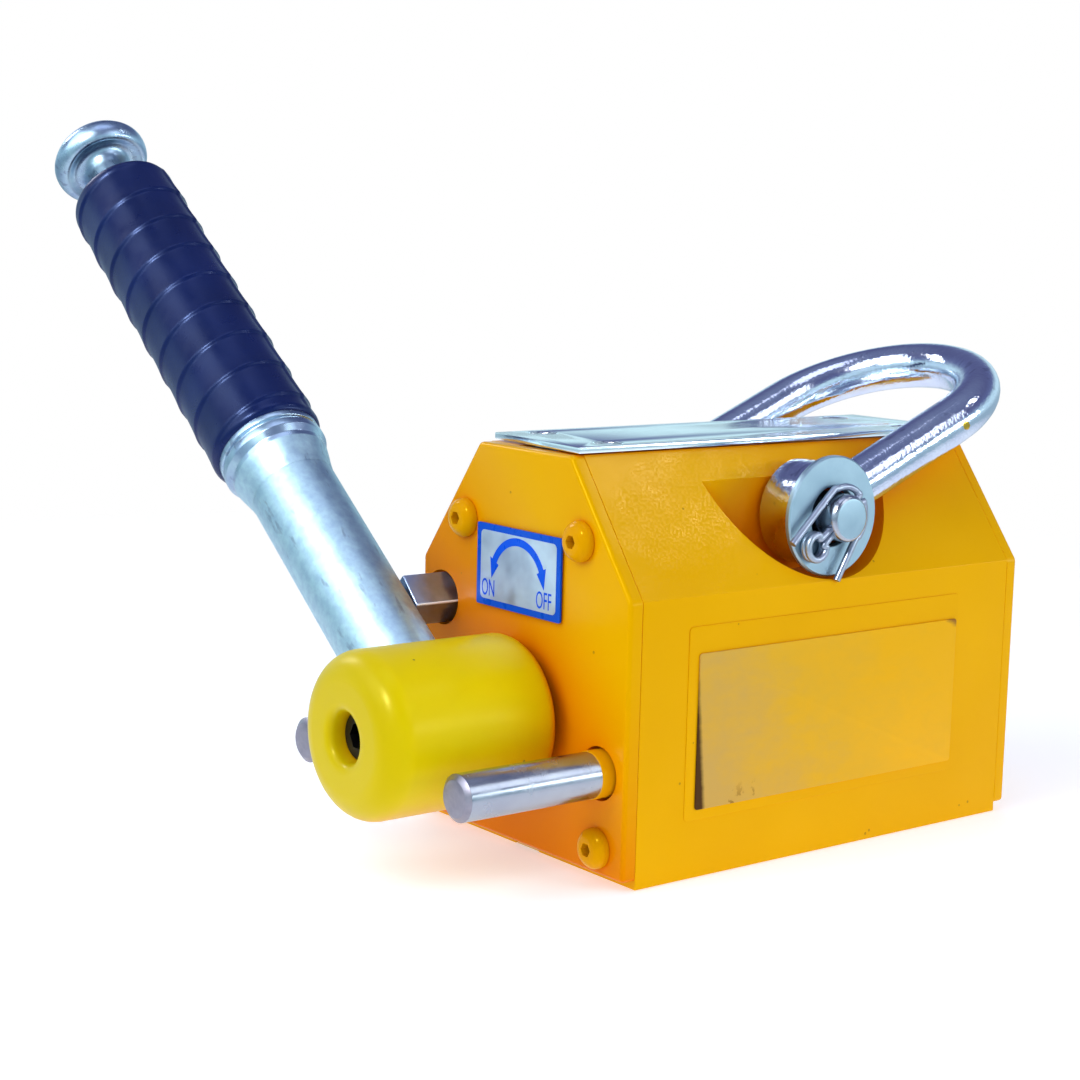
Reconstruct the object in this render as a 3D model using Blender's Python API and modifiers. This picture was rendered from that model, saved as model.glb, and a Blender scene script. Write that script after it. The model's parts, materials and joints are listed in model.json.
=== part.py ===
"""Permanent lifting magnet, 100 kg class, modelled as its separate pieces.

The frame: +X across the body, -Y towards the handle, +Z up. The origin is the
middle of the lifting face. A two-pole steel body holds a magnetic rotor, which a
hand lever turns. A push button at the lever's end and a spring pin in the body
make the lever's lock. A forged shackle swings on a cross pin.
"""
import math

import bmesh
import bpy

MM = 0.001
GAP = 0.3 * MM
EPS = 1.0 * MM

# Body
BODY_W = 58.2 * MM
BODY_H = 70.0 * MM
BODY_L = 94.0 * MM
SHOULDER_Z = 47.9 * MM
TOP_HALF_W = 12.8 * MM
COVER_T = 2.7 * MM
COVER_FOOT = 1.5 * MM
COVER_FACE = BODY_L / 2
BLOCK_END = COVER_FACE - COVER_T - GAP
STRIP_HALF_W = 3.0 * MM
SLOT_HALF_W = 4.85 * MM

# Screws in the covers (x, z) and in the top plate (x, y)
COVER_SCREWS = [(-16.2 * MM, 56.3 * MM), (16.2 * MM, 56.3 * MM),
                (-22.3 * MM, 6.0 * MM), (22.3 * MM, 6.0 * MM)]
PLATE_SCREWS = [(-9.0 * MM, -36.0 * MM), (9.0 * MM, -36.0 * MM),
                (-9.0 * MM, 36.0 * MM), (9.0 * MM, 36.0 * MM)]
SCREW_HEAD_R = 3.65 * MM
SCREW_HEAD_H = 2.1 * MM
SCREW_SHANK_R = 2.0 * MM
SCREW_SHANK_L = 10.5 * MM
SCREW_HEX_R = 1.5 * MM
SCREW_HOLE_R = 2.3 * MM
SCREW_TAP_DEPTH = 8.4 * MM
PLATE_TAP_R = 1.7 * MM
PLATE_TAP_DEPTH = 6 * MM
TAP_CUT = 12 * MM

# Inside the slot between the poles, and the plate over it
MAGNET_FOOT = 43.3 * MM
MAGNET_TOP = 52.5 * MM
KEEPER_FOOT = 52.8 * MM
PLATE_W = 26.8 * MM
PLATE_L = 91.6 * MM
PLATE_T = 1.1 * MM
PLATE_HOLE_R = 2.7 * MM
PLATE_HEAD_R = 2.3 * MM
PLATE_HEAD_H = 0.9 * MM
PLATE_SHANK_R = 1.4 * MM
PLATE_SHANK_L = 5.5 * MM
PLATE_HEX_R = 1.1 * MM
PLATE_HEX_DEPTH = 0.6 * MM

# Labels
FILM_T = 0.35 * MM
MODE_W = 23.5 * MM
MODE_H = 14.3 * MM
MODE_Z = 49.05 * MM
RATING_L = 62.5 * MM
RATING_H = 26.5 * MM
RATING_Y = -0.7 * MM
RATING_Z = 25.0 * MM

# Rotor
AXIS_Z = 24.4 * MM
BORE_R = 18.5 * MM
ROTOR_R = 18.15 * MM
ROTOR_HALF_L = 39.6 * MM
ROTOR_MAGNET_HALF_T = 4.0 * MM
ROTOR_MAGNET_HALF_W = 13.0 * MM
DISC_T = 2.1 * MM
SHAFT_R = 6.0 * MM
BUSH_BORE_R = 6.08 * MM
BUSH_R = 8.7 * MM
BUSH_INNER_END = 43.0 * MM
BUSH_OUTER_END = 46.9 * MM
REAR_SHAFT_END = 46.6 * MM
SHAFT_EDGE = 0.5 * MM
SHAFT_TAP_R = 2.8 * MM
SHAFT_TAP_DEPTH = 13 * MM
KEY_W = 3.0 * MM
KEY_L = 20 * MM
KEY_Y = -61.5 * MM
KEY_R = 6.1 * MM
KEYWAY_W = 3.6 * MM
SHAFT_KEYWAY_H = 3.2 * MM
SHAFT_KEYWAY_L = 21 * MM
SHAFT_KEYWAY_R = 5.9 * MM
HUB_KEYWAY_H = 4.0 * MM
HUB_KEYWAY_L = 30 * MM
HUB_KEYWAY_R = 6.0 * MM

# Lever
LEVER_Y = -65.0 * MM
LEVER_ANGLE = math.radians(142.4)
HUB_R = 11.6 * MM
HUB_FRONT = 74.0 * MM
HUB_BACK = 50.0 * MM
CAP_R = 14.2 * MM
CAP_FRONT = 82.5 * MM
CAP_BACK = 48.5 * MM
CAP_ROUND = 4.5 * MM
CAP_BACK_ROUND = 2.0 * MM
CAP_BORE_R = 12.0 * MM
CAP_SHELF = 76.4 * MM
FUNNEL_FACE_R = 6.0 * MM
FUNNEL_R = 4.6 * MM
FUNNEL_LIP = 80.9 * MM
HUB_SCREW_TOP = 79.6 * MM
HUB_SCREW_SEAT = 76.1 * MM
HUB_SCREW_END = 62.5 * MM
HUB_SCREW_R = 4.25 * MM
HUB_SCREW_SHANK_R = 2.45 * MM
HUB_SCREW_HEX_R = 2.3 * MM
HUB_SCREW_HEX_DEPTH = 2.4 * MM
HUB_SCREW_EDGE = 0.4 * MM
HUB_WASHER_R = 5.6 * MM
HUB_WASHER_BORE_R = 2.8 * MM
HUB_WASHER_FOOT = 74.6 * MM
HUB_WASHER_TOP = 75.8 * MM
HUB_SOCKET_FOOT = 7.5 * MM
CAP_SOCKET_FOOT = 9 * MM
SOCKET_CUT = 20 * MM
TUBE_R = 8.0 * MM
TUBE_BORE_R = 5.5 * MM
TUBE_FOOT = 7.8 * MM
TUBE_TOP = 138.2 * MM
TUBE_LOCK_HOLE_R = 2.3 * MM
TUBE_LOCK_HOLE_L = 5 * MM
TUBE_LOCK_HOLE_FOOT = 3.6 * MM
COLLAR_FOOT = 57.5 * MM
COLLAR_FOOT_R = 8.6 * MM
COLLAR_WAIST = 60.2 * MM
COLLAR_WAIST_R = 9.0 * MM
COLLAR_SHOULDER = 62.4 * MM
COLLAR_R = 9.95 * MM
GRIP_FOOT = 67.0 * MM
GRIP_TOP = 141.0 * MM
GRIP_FOOT_R = 10.65 * MM
GRIP_TOP_R = 10.5 * MM
GRIP_EDGE = 1.2 * MM
BUTTON_END = 157.8 * MM
BUTTON_R = 9.7 * MM
NECK_R = 4.0 * MM
NECK_FOOT = 129.4 * MM
FLANGE_TOP = 131.7 * MM
FLANGE_R = 4.9 * MM
ROD_R = 2.5 * MM
ROD_TIP = 31.5 * MM
SEAT_FOOT = 99.5 * MM
SEAT_TOP = 102.5 * MM
SEAT_BORE_R = 2.9 * MM
END_BUSH_FOOT = 132.0 * MM
END_BUSH_TOP = 137.9 * MM
END_BUSH_CLEARANCE = 0.1 * MM
BUTTON_SPRING_R = 3.9 * MM
BUTTON_SPRING_WIRE = 0.4 * MM
BUTTON_SPRING_GAP = 0.7 * MM
ROD_POINT_R = 1.0 * MM
ROD_POINT_L = 3 * MM

# Stops and lock
STOP_X = 22.3 * MM
STOP_Z = 18.6 * MM
STOP_R = 3.9 * MM
STOP_END = 76.0 * MM
LOCK_X = -23.1 * MM
LOCK_Z = 41.0 * MM
STOP_EDGE = 0.8 * MM
STOP_SHANK_R = 2.4 * MM
STOP_TAP_R = 2.7 * MM
STOP_HOLE_R = 4.55 * MM
STUD_SEAT = BLOCK_END + 0.1 * MM
STUD_SHANK_L = 10 * MM
STUD_TAP_DEPTH = 10.4 * MM
STUD_TAP_CUT = 14 * MM
LOCK_CORNER_R = 4.7 * MM
LOCK_END = 55.6 * MM
LOCK_SHANK_R = 2.6 * MM
LOCK_TAP_R = 2.9 * MM
LOCK_HOLE_R = 5.0 * MM
LOCK_BORE_R = 2.15 * MM
LOCK_BORE_FOOT = 45.5 * MM
LOCK_PIN_R = 1.85 * MM
LOCK_PIN_FOOT = 50.6 * MM
LOCK_PIN_EDGE = 0.5 * MM
LOCK_PIN_CLEARANCE = 0.35 * MM
LOCK_SPRING_R = 1.55 * MM
LOCK_SPRING_WIRE = 0.22 * MM
LOCK_SPRING_FOOT = 45.95 * MM
LOCK_SPRING_TOP = 50.15 * MM

# Shackle and its cross pin
PIN_Z = 58.8 * MM
PIN_R = 4.15 * MM
LEAN = math.radians(22.8)
LEG_X = 22.0 * MM
BAR_R = 4.37 * MM
LEG_L = 37.3 * MM
EYE_R = 9.2 * MM
POCKET_R = 22.0 * MM
POCKET_FLOOR_X = 16.6 * MM
WASHER_R = 10.5 * MM
WASHER_X = LEG_X + BAR_R + GAP
WASHER_T = 1.3 * MM
PIN_END_X = 31.6 * MM
COTTER_X = 29.6 * MM
COTTER_TILT = math.radians(38)
COTTER_R = 0.55 * MM
COTTER_LANE = 0.62 * MM
COTTER_BEND_R = 5.35 * MM
COTTER_LOOP_R = 2.15 * MM
COTTER_LOOP_OFFSET = 7.7 * MM
COTTER_HOLE_R = 1.45 * MM
WASHER_BORE_R = 5.3 * MM
WASHER_SAG_Y = -0.85 * MM
WASHER_SAG_Z = 0.1 * MM
PIN_HEAD_R = 6.2 * MM
PIN_HEAD_T = 3.0 * MM

# Rotations that send a shape's own +Z to the named side
FRONT = (math.pi / 2, 0.0, 0.0)
REAR = (-math.pi / 2, 0.0, 0.0)
RIGHT = (0.0, math.pi / 2, 0.0)
LEFT = (0.0, -math.pi / 2, 0.0)
UP = (0.0, 0.0, 0.0)


def clear_scene():
    for ob in list(bpy.data.objects):
        bpy.data.objects.remove(ob, do_unlink=True)


clear_scene()
parts = bpy.data.collections.new("lifting_magnet")
cutters = bpy.data.collections.new("cutters")
bpy.context.scene.collection.children.link(parts)
bpy.context.scene.collection.children.link(cutters)


# Materials

def material(name, colour, roughness, metallic):
    mat = bpy.data.materials.get(name)
    if mat is None:
        mat = bpy.data.materials.new(name)
        mat.use_nodes = True
        shader = mat.node_tree.nodes["Principled BSDF"]
        shader.inputs["Base Color"].default_value = (*colour, 1.0)
        shader.inputs["Roughness"].default_value = roughness
        shader.inputs["Metallic"].default_value = metallic
    return mat


def yellow_paint():
    return material("yellow_paint", (0.80, 0.45, 0.0), 0.3, 0.0)


def pole_steel():
    return material("pole_steel", (0.78, 0.44, 0.0), 0.32, 0.0)


def zinc_steel():
    return material("zinc_steel", (0.60, 0.66, 0.74), 0.25, 1.0)


def dark_zinc():
    return material("dark_zinc", (0.30, 0.30, 0.34), 0.3, 1.0)


def forged_zinc():
    return material("forged_zinc", (0.55, 0.60, 0.72), 0.15, 1.0)


def black_steel():
    return material("black_steel", (0.03, 0.03, 0.03), 0.4, 1.0)


def brass():
    return material("brass", (0.72, 0.52, 0.20), 0.3, 1.0)


def aluminium():
    return material("aluminium", (0.75, 0.76, 0.78), 0.35, 1.0)


def magnet_nickel():
    return material("magnet_nickel", (0.62, 0.60, 0.55), 0.2, 1.0)


def lemon_plastic():
    return material("lemon_plastic", (0.72, 0.62, 0.0), 0.45, 0.0)


def navy_rubber():
    return material("navy_rubber", (0.012, 0.016, 0.06), 0.45, 0.0)


def label_film():
    return material("label_film", (0.0, 0.08, 0.75), 0.3, 0.0)


def plate_film():
    return material("plate_film", (0.78, 0.52, 0.08), 0.4, 0.0)


# Shapes

def add(name, mesh, mat=None, cutter=False):
    ob = bpy.data.objects.new(name, mesh)
    (cutters if cutter else parts).objects.link(ob)
    if cutter:
        ob.hide_render = True
        ob.display_type = "WIRE"
    else:
        ob.data.materials.append(mat)
    return ob


def place(ob, location=(0, 0, 0), rotation=UP, parent=None):
    ob.parent = parent
    ob.location = location
    ob.rotation_euler = rotation
    return ob


def smooth(ob, angle=30.0):
    ob.data.shade_smooth()
    ob.data.set_sharp_from_angle(angle=math.radians(angle))


def finish_mesh(name, bm, mat, cutter):
    mesh = bpy.data.meshes.new(name)
    bm.to_mesh(mesh)
    bm.free()
    return add(name, mesh, mat, cutter)


def box(name, size, mat=None, cutter=False):
    bm = bmesh.new()
    bmesh.ops.create_cube(bm, size=1.0)
    bmesh.ops.scale(bm, vec=size, verts=bm.verts)
    return finish_mesh(name, bm, mat, cutter)


def rod(name, radius, length, mat=None, sides=24, cutter=False):
    """A round bar from its own z = 0 up to its length."""
    bm = bmesh.new()
    bmesh.ops.create_cone(bm, cap_ends=True, segments=sides, radius1=radius,
                          radius2=radius, depth=length)
    bmesh.ops.translate(bm, vec=(0, 0, length / 2), verts=bm.verts)
    ob = finish_mesh(name, bm, mat, cutter)
    smooth(ob)
    return ob


def turned(name, profile, mat=None, sides=24, closed=False, cutter=False):
    """Turn (radius, height) points about +Z, the outer side running downwards."""
    bm = bmesh.new()
    verts = [bm.verts.new((r, 0.0, h)) for r, h in profile]
    for a, b in zip(verts, verts[1:]):
        bm.edges.new((a, b))
    if closed:
        bm.edges.new((verts[-1], verts[0]))
    ob = finish_mesh(name, bm, mat, cutter)
    screw = ob.modifiers.new("turn", "SCREW")
    screw.axis = "Z"
    screw.steps = sides
    screw.render_steps = sides
    screw.use_merge_vertices = True
    screw.merge_threshold = 0.00001
    screw.use_smooth_shade = True
    return ob


def ring(name, outer, inner, low, high, mat=None, sides=24, cutter=False):
    profile = [(outer, high), (outer, low), (inner, low), (inner, high)]
    return turned(name, profile, mat, sides, closed=True, cutter=cutter)


def as_mesh(curve_ob, mat=None, cutter=False):
    """Replace a curve with its mesh, caps welded."""
    bpy.context.view_layer.update()
    deps = bpy.context.evaluated_depsgraph_get()
    mesh = bpy.data.meshes.new_from_object(curve_ob.evaluated_get(deps))
    bm = bmesh.new()
    bm.from_mesh(mesh)
    bmesh.ops.remove_doubles(bm, verts=bm.verts, dist=0.000005)
    bm.to_mesh(mesh)
    bm.free()
    name = curve_ob.name
    matrix = curve_ob.matrix_world.copy()
    bpy.data.objects.remove(curve_ob, do_unlink=True)
    mesh.materials.clear()
    ob = add(name, mesh, mat, cutter)
    ob.matrix_world = matrix
    return ob


def extruded(name, outline, thickness, mat=None, cutter=False):
    """A flat outline in the XY plane, from z = 0 up to its thickness."""
    curve = bpy.data.curves.new(name, "CURVE")
    curve.dimensions = "2D"
    curve.fill_mode = "BOTH"
    curve.extrude = thickness / 2
    spline = curve.splines.new("POLY")
    spline.points.add(len(outline) - 1)
    for point, (x, y) in zip(spline.points, outline):
        point.co = (x, y, 0.0, 1.0)
    spline.use_cyclic_u = True
    curve_ob = bpy.data.objects.new(name, curve)
    parts.objects.link(curve_ob)
    ob = as_mesh(curve_ob, mat, cutter)
    bm = bmesh.new()
    bm.from_mesh(ob.data)
    bmesh.ops.translate(bm, vec=(0, 0, thickness / 2), verts=bm.verts)
    bmesh.ops.recalc_face_normals(bm, faces=bm.faces)
    bm.to_mesh(ob.data)
    bm.free()
    return ob


def wire(name, points, radius, mat=None, resolution=2):
    """A round wire or bar along a list of points, its ends closed."""
    curve = bpy.data.curves.new(name, "CURVE")
    curve.dimensions = "3D"
    curve.bevel_depth = radius
    curve.bevel_resolution = resolution
    curve.use_fill_caps = True
    spline = curve.splines.new("POLY")
    spline.points.add(len(points) - 1)
    for point, co in zip(spline.points, points):
        point.co = (*co, 1.0)
    curve_ob = bpy.data.objects.new(name, curve)
    parts.objects.link(curve_ob)
    ob = as_mesh(curve_ob, mat)
    smooth(ob, 40)
    return ob


def boolean(ob, other, operation="DIFFERENCE"):
    mod = ob.modifiers.new(other.name, "BOOLEAN")
    mod.operation = operation
    mod.solver = "EXACT"
    mod.object = other


def round_hole(ob, name, radius, depth, location, rotation, parent=None, sides=20):
    """Cut a round hole that starts at a point and runs along the rotated +Z."""
    cutter = rod(name, radius, depth, sides=sides, cutter=True)
    place(cutter, location, rotation, parent)
    boolean(ob, cutter)


def arc(centre, radius, start, end, steps):
    """Points on an arc, angles in degrees."""
    cx, cy = centre
    points = []
    for i in range(steps + 1):
        a = math.radians(start + (end - start) * i / steps)
        points.append((cx + radius * math.cos(a), cy + radius * math.sin(a)))
    return points


# Body

def body_outline(foot):
    half = BODY_W / 2
    return [(-half, foot), (half, foot), (half, SHOULDER_Z),
            (TOP_HALF_W, BODY_H), (-TOP_HALF_W, BODY_H), (-half, SHOULDER_Z)]


def pole_outline():
    """Half of the body's section, with the rotor bore's arc on its inner side."""
    low_x = STRIP_HALF_W + GAP
    slot_x = SLOT_HALF_W + GAP
    top_angle = math.degrees(math.acos(slot_x / BORE_R))
    low_angle = -math.degrees(math.acos(low_x / BORE_R))
    bore = arc((0.0, AXIS_Z), BORE_R, top_angle, low_angle, 16)
    half = BODY_W / 2
    return [(low_x, 0.0), (half, 0.0), (half, SHOULDER_Z),
            (TOP_HALF_W, BODY_H), (slot_x, BODY_H)] + bore


def pole_block(name, side):
    outline = [(side * x, z) for x, z in pole_outline()]
    block = extruded(name, outline, 2 * BLOCK_END, pole_steel())
    place(block, (0, BLOCK_END, 0), FRONT)
    facing = RIGHT if side > 0 else LEFT
    pocket = rod(name + "_pocket", POCKET_R, 30 * MM, sides=44, cutter=True)
    place(pocket, (side * POCKET_FLOOR_X, 0, BODY_H), facing)
    boolean(block, pocket)
    round_hole(block, name + "_pin_hole", PIN_R + GAP, 40 * MM,
               (0, 0, PIN_Z), facing)
    for i, (x, z) in enumerate(COVER_SCREWS):
        if x * side < 0:
            continue
        for end, rotation in ((-1, FRONT), (1, REAR)):
            start = end * (BLOCK_END - SCREW_TAP_DEPTH)
            round_hole(block, f"{name}_tap_{i}_{end}", SCREW_HOLE_R, TAP_CUT,
                       (x, start, z), rotation, sides=12)
    for i, (x, y) in enumerate(PLATE_SCREWS):
        if x * side > 0:
            round_hole(block, f"{name}_plate_tap_{i}", PLATE_TAP_R, TAP_CUT,
                       (x, y, BODY_H - PLATE_TAP_DEPTH), UP, sides=12)
    stud_start = -(BLOCK_END - STUD_TAP_DEPTH)
    round_hole(block, name + "_stop_tap", STOP_TAP_R, STUD_TAP_CUT,
               (side * STOP_X, stud_start, STOP_Z), FRONT, sides=14)
    if side < 0:
        round_hole(block, name + "_lock_tap", LOCK_TAP_R, STUD_TAP_CUT,
                   (LOCK_X, stud_start, LOCK_Z), FRONT, sides=14)
    return block


def bottom_strip():
    height = AXIS_Z - BORE_R - 0.2 * MM
    strip = box("bottom_strip", (2 * STRIP_HALF_W, 2 * BLOCK_END, height), brass())
    place(strip, (0, 0, height / 2))


def keeper_bar():
    high = BODY_H - GAP
    bar = box("keeper_bar", (2 * SLOT_HALF_W, 2 * BLOCK_END, high - KEEPER_FOOT), aluminium())
    place(bar, (0, 0, (KEEPER_FOOT + high) / 2))
    round_hole(bar, "keeper_pin_hole", PIN_R + GAP, 20 * MM,
               (-10 * MM, 0, PIN_Z), RIGHT)


def stator_magnets():
    height = MAGNET_TOP - MAGNET_FOOT
    length = BLOCK_END - GAP / 2
    for name, side in (("stator_magnet_front", -1), ("stator_magnet_rear", 1)):
        magnet = box(name, (2 * SLOT_HALF_W, length - GAP / 2, height), magnet_nickel())
        place(magnet, (0, side * (length + GAP / 2) / 2, MAGNET_FOOT + height / 2))


def top_plate():
    plate = box("top_plate", (PLATE_W, PLATE_L, PLATE_T), zinc_steel())
    low = BODY_H + GAP
    place(plate, (0, 0, low + PLATE_T / 2))
    head_top = low + PLATE_T
    head_foot = head_top - PLATE_HEAD_H
    tip = BODY_H - PLATE_SHANK_L
    profile = [(0, head_top), (PLATE_HEAD_R, head_top), (PLATE_HEAD_R, head_foot),
               (PLATE_SHANK_R, head_foot), (PLATE_SHANK_R, tip), (0, tip)]
    for i, (x, y) in enumerate(PLATE_SCREWS):
        round_hole(plate, f"plate_hole_{i}", PLATE_HOLE_R, PLATE_T + GAP + 2 * EPS,
                   (x, y, BODY_H - EPS), UP, sides=14)
        screw = turned(f"plate_screw_{i + 1}", profile, zinc_steel(), sides=12)
        place(screw, (x, y, 0))
        socket = rod(f"plate_socket_{i}", PLATE_HEX_R, PLATE_HEX_DEPTH + EPS, sides=6,
                     cutter=True)
        place(socket, (x, y, head_top - PLATE_HEX_DEPTH))
        boolean(screw, socket)


def end_cover(name, end):
    rotation = FRONT if end < 0 else REAR
    cover = extruded(name, body_outline(COVER_FOOT), COVER_T, yellow_paint())
    place(cover, (0, -(COVER_FACE - COVER_T) if end < 0 else COVER_FACE, 0), FRONT)
    inside = end * (COVER_FACE - COVER_T - EPS)
    deep = COVER_T + 2 * EPS
    round_hole(cover, name + "_bush_hole", BUSH_R + GAP, deep, (0, inside, AXIS_Z),
               rotation, sides=36)
    for i, (x, z) in enumerate(COVER_SCREWS):
        round_hole(cover, f"{name}_screw_hole_{i}", SCREW_HOLE_R, deep, (x, inside, z),
                   rotation, sides=12)
    if end < 0:
        for side in (-1, 1):
            round_hole(cover, f"{name}_stop_hole_{side}", STOP_HOLE_R, deep,
                       (side * STOP_X, inside, STOP_Z), rotation, sides=24)
        round_hole(cover, name + "_lock_hole", LOCK_HOLE_R, deep, (LOCK_X, inside, LOCK_Z),
                   rotation, sides=24)


def cover_screw(name, x, z, end):
    """A button-head socket screw, its head outside the cover."""
    profile = [(0, SCREW_HEAD_H), (0.62 * SCREW_HEAD_R, SCREW_HEAD_H),
               (SCREW_HEAD_R, 0.3 * SCREW_HEAD_H), (SCREW_HEAD_R, 0), (SCREW_SHANK_R, 0),
               (SCREW_SHANK_R, -SCREW_SHANK_L), (0, -SCREW_SHANK_L)]
    screw = turned(name, profile, yellow_paint(), sides=14)
    rotation = FRONT if end < 0 else REAR
    seat = end * (COVER_FACE + GAP)
    place(screw, (x, seat, z), rotation)
    socket = rod(name + "_socket", SCREW_HEX_R, 3 * MM, sides=6, cutter=True)
    place(socket, (x, seat + end * 0.5 * MM, z), rotation)
    boolean(screw, socket)


def cover_screws():
    for end, word in ((-1, "front"), (1, "rear")):
        for i, (x, z) in enumerate(COVER_SCREWS):
            cover_screw(f"{word}_screw_{i + 1}", x, z, end)


def bushes():
    for name, end, rotation in (("front_bush", -1, FRONT), ("rear_bush", 1, REAR)):
        bush = ring(name, BUSH_R, BUSH_BORE_R, BUSH_INNER_END, BUSH_OUTER_END, brass(), sides=32)
        place(bush, (0, 0, AXIS_Z), rotation)


def stop_pins():
    shank_end = STUD_SEAT - STUD_SHANK_L
    profile = [(0, STOP_END), (STOP_R - STOP_EDGE, STOP_END), (STOP_R, STOP_END - STOP_EDGE),
               (STOP_R, STUD_SEAT), (STOP_SHANK_R, STUD_SEAT), (STOP_SHANK_R, shank_end),
               (0, shank_end)]
    for name, side in (("stop_pin_on", -1), ("stop_pin_off", 1)):
        pin = turned(name, profile, zinc_steel(), sides=24)
        place(pin, (side * STOP_X, 0, STOP_Z), FRONT)


def lock_stud():
    """A square stud, bored for the lock pin and its spring."""
    stud = rod("lock_stud", LOCK_CORNER_R, LOCK_END - STUD_SEAT, dark_zinc(), sides=4)
    stud.data.shade_flat()
    place(stud, (LOCK_X, -STUD_SEAT, LOCK_Z), FRONT)
    shank = rod("lock_shank", LOCK_SHANK_R, STUD_SHANK_L + EPS / 2, sides=20, cutter=True)
    place(shank, (LOCK_X, -(STUD_SEAT - STUD_SHANK_L), LOCK_Z), FRONT)
    boolean(stud, shank, "UNION")
    round_hole(stud, "lock_bore", LOCK_BORE_R, LOCK_END - LOCK_BORE_FOOT + EPS,
               (LOCK_X, -LOCK_BORE_FOOT, LOCK_Z), FRONT, sides=20)
    coil = spring_points(LOCK_SPRING_R, LOCK_SPRING_FOOT, LOCK_SPRING_TOP, 3, 8)
    spring = wire("lock_spring", coil, LOCK_SPRING_WIRE, zinc_steel(), resolution=0)
    place(spring, (LOCK_X, 0, LOCK_Z), FRONT)


def lock_pin():
    tip = -LEVER_Y - TUBE_R - LOCK_PIN_CLEARANCE
    profile = [(0, tip), (LOCK_PIN_R - LOCK_PIN_EDGE, tip), (LOCK_PIN_R, tip - LOCK_PIN_EDGE),
               (LOCK_PIN_R, LOCK_PIN_FOOT), (0, LOCK_PIN_FOOT)]
    pin = turned("lock_pin", profile, zinc_steel(), sides=20)
    place(pin, (LOCK_X, 0, LOCK_Z), FRONT)


def spring_points(radius, low, high, turns, per_turn):
    count = turns * per_turn
    points = []
    for i in range(count + 1):
        a = 2 * math.pi * i / per_turn
        z = low + (high - low) * i / count
        points.append((radius * math.cos(a), radius * math.sin(a), z))
    return points


def labels():
    mode = box("mode_label", (MODE_W, FILM_T, MODE_H), label_film())
    place(mode, (0, -(COVER_FACE + GAP + FILM_T / 2), MODE_Z))
    for name, side in (("rating_plate_right", 1), ("rating_plate_left", -1)):
        plate = box(name, (FILM_T, RATING_L, RATING_H), plate_film())
        place(plate, (side * (BODY_W / 2 + GAP + FILM_T / 2), RATING_Y, RATING_Z))


# Rotor

def rotor_poles():
    for name, side in (("rotor_pole_left", -1), ("rotor_pole_right", 1)):
        inner = ROTOR_MAGNET_HALF_T + GAP
        angle = math.degrees(math.acos(inner / ROTOR_R))
        section = [(side * x, z) for x, z in arc((0, AXIS_Z), ROTOR_R, -angle, angle, 14)]
        pole = extruded(name, section, 2 * ROTOR_HALF_L, dark_zinc())
        place(pole, (0, ROTOR_HALF_L, 0), FRONT)


def rotor_core():
    magnet = box("rotor_magnet", (2 * ROTOR_MAGNET_HALF_T, 2 * ROTOR_HALF_L,
                                  2 * ROTOR_MAGNET_HALF_W), magnet_nickel())
    place(magnet, (0, 0, AXIS_Z))
    low = ROTOR_HALF_L + GAP
    for name, rotation in (("rotor_disc_front", FRONT), ("rotor_disc_rear", REAR)):
        disc = ring(name, ROTOR_R, SHAFT_R + GAP, low, low + DISC_T, aluminium(), sides=32)
        place(disc, (0, 0, AXIS_Z), rotation)


def rotor_shafts():
    foot = ROTOR_HALF_L + GAP
    end = HUB_FRONT + GAP
    profile = [(0, end), (SHAFT_R - SHAFT_EDGE, end), (SHAFT_R, end - SHAFT_EDGE),
               (SHAFT_R, foot), (0, foot)]
    shaft = turned("rotor_shaft_front", profile, zinc_steel(), sides=32)
    place(shaft, (0, 0, AXIS_Z), FRONT)
    round_hole(shaft, "shaft_tap", SHAFT_TAP_R, SHAFT_TAP_DEPTH + EPS,
               (0, -(end - SHAFT_TAP_DEPTH), AXIS_Z), FRONT, sides=14)
    keyway = box("shaft_keyway", (KEYWAY_W, SHAFT_KEYWAY_H, SHAFT_KEYWAY_L), cutter=True)
    key_turn(keyway, SHAFT_KEYWAY_R)
    boolean(shaft, keyway)
    rear = turned("rotor_shaft_rear",
                  [(0, REAR_SHAFT_END), (SHAFT_R - SHAFT_EDGE, REAR_SHAFT_END),
                   (SHAFT_R, REAR_SHAFT_END - SHAFT_EDGE), (SHAFT_R, foot), (0, foot)],
                  zinc_steel(), sides=32)
    place(rear, (0, 0, AXIS_Z), REAR)


def key_turn(ob, radius):
    """Put a bar beside the shaft, on the side away from the lever."""
    away = LEVER_ANGLE + math.pi
    place(ob, (radius * math.cos(away), KEY_Y, AXIS_Z + radius * math.sin(away)),
          (math.pi / 2, -(away - math.pi / 2), 0))


def shaft_key():
    key = box("shaft_key", (KEY_W, KEY_W, KEY_L), zinc_steel())
    key_turn(key, KEY_R)


# Lever. Its own +Z runs out along the tube.

def lever_frame():
    frame = bpy.data.objects.new("lever_frame", None)
    parts.objects.link(frame)
    place(frame, (0, LEVER_Y, AXIS_Z), (0, math.pi / 2 - LEVER_ANGLE, 0))
    return frame


def hub(frame):
    part = ring("hub", HUB_R, SHAFT_R + GAP, HUB_BACK, HUB_FRONT, zinc_steel(), sides=28)
    place(part, (0, 0, AXIS_Z), FRONT)
    round_hole(part, "hub_socket", TUBE_R + GAP, SOCKET_CUT, (0, 0, HUB_SOCKET_FOOT), UP,
               frame, 24)
    keyway = box("hub_keyway", (KEYWAY_W, HUB_KEYWAY_H, HUB_KEYWAY_L), cutter=True)
    key_turn(keyway, HUB_KEYWAY_R)
    boolean(part, keyway)


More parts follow.
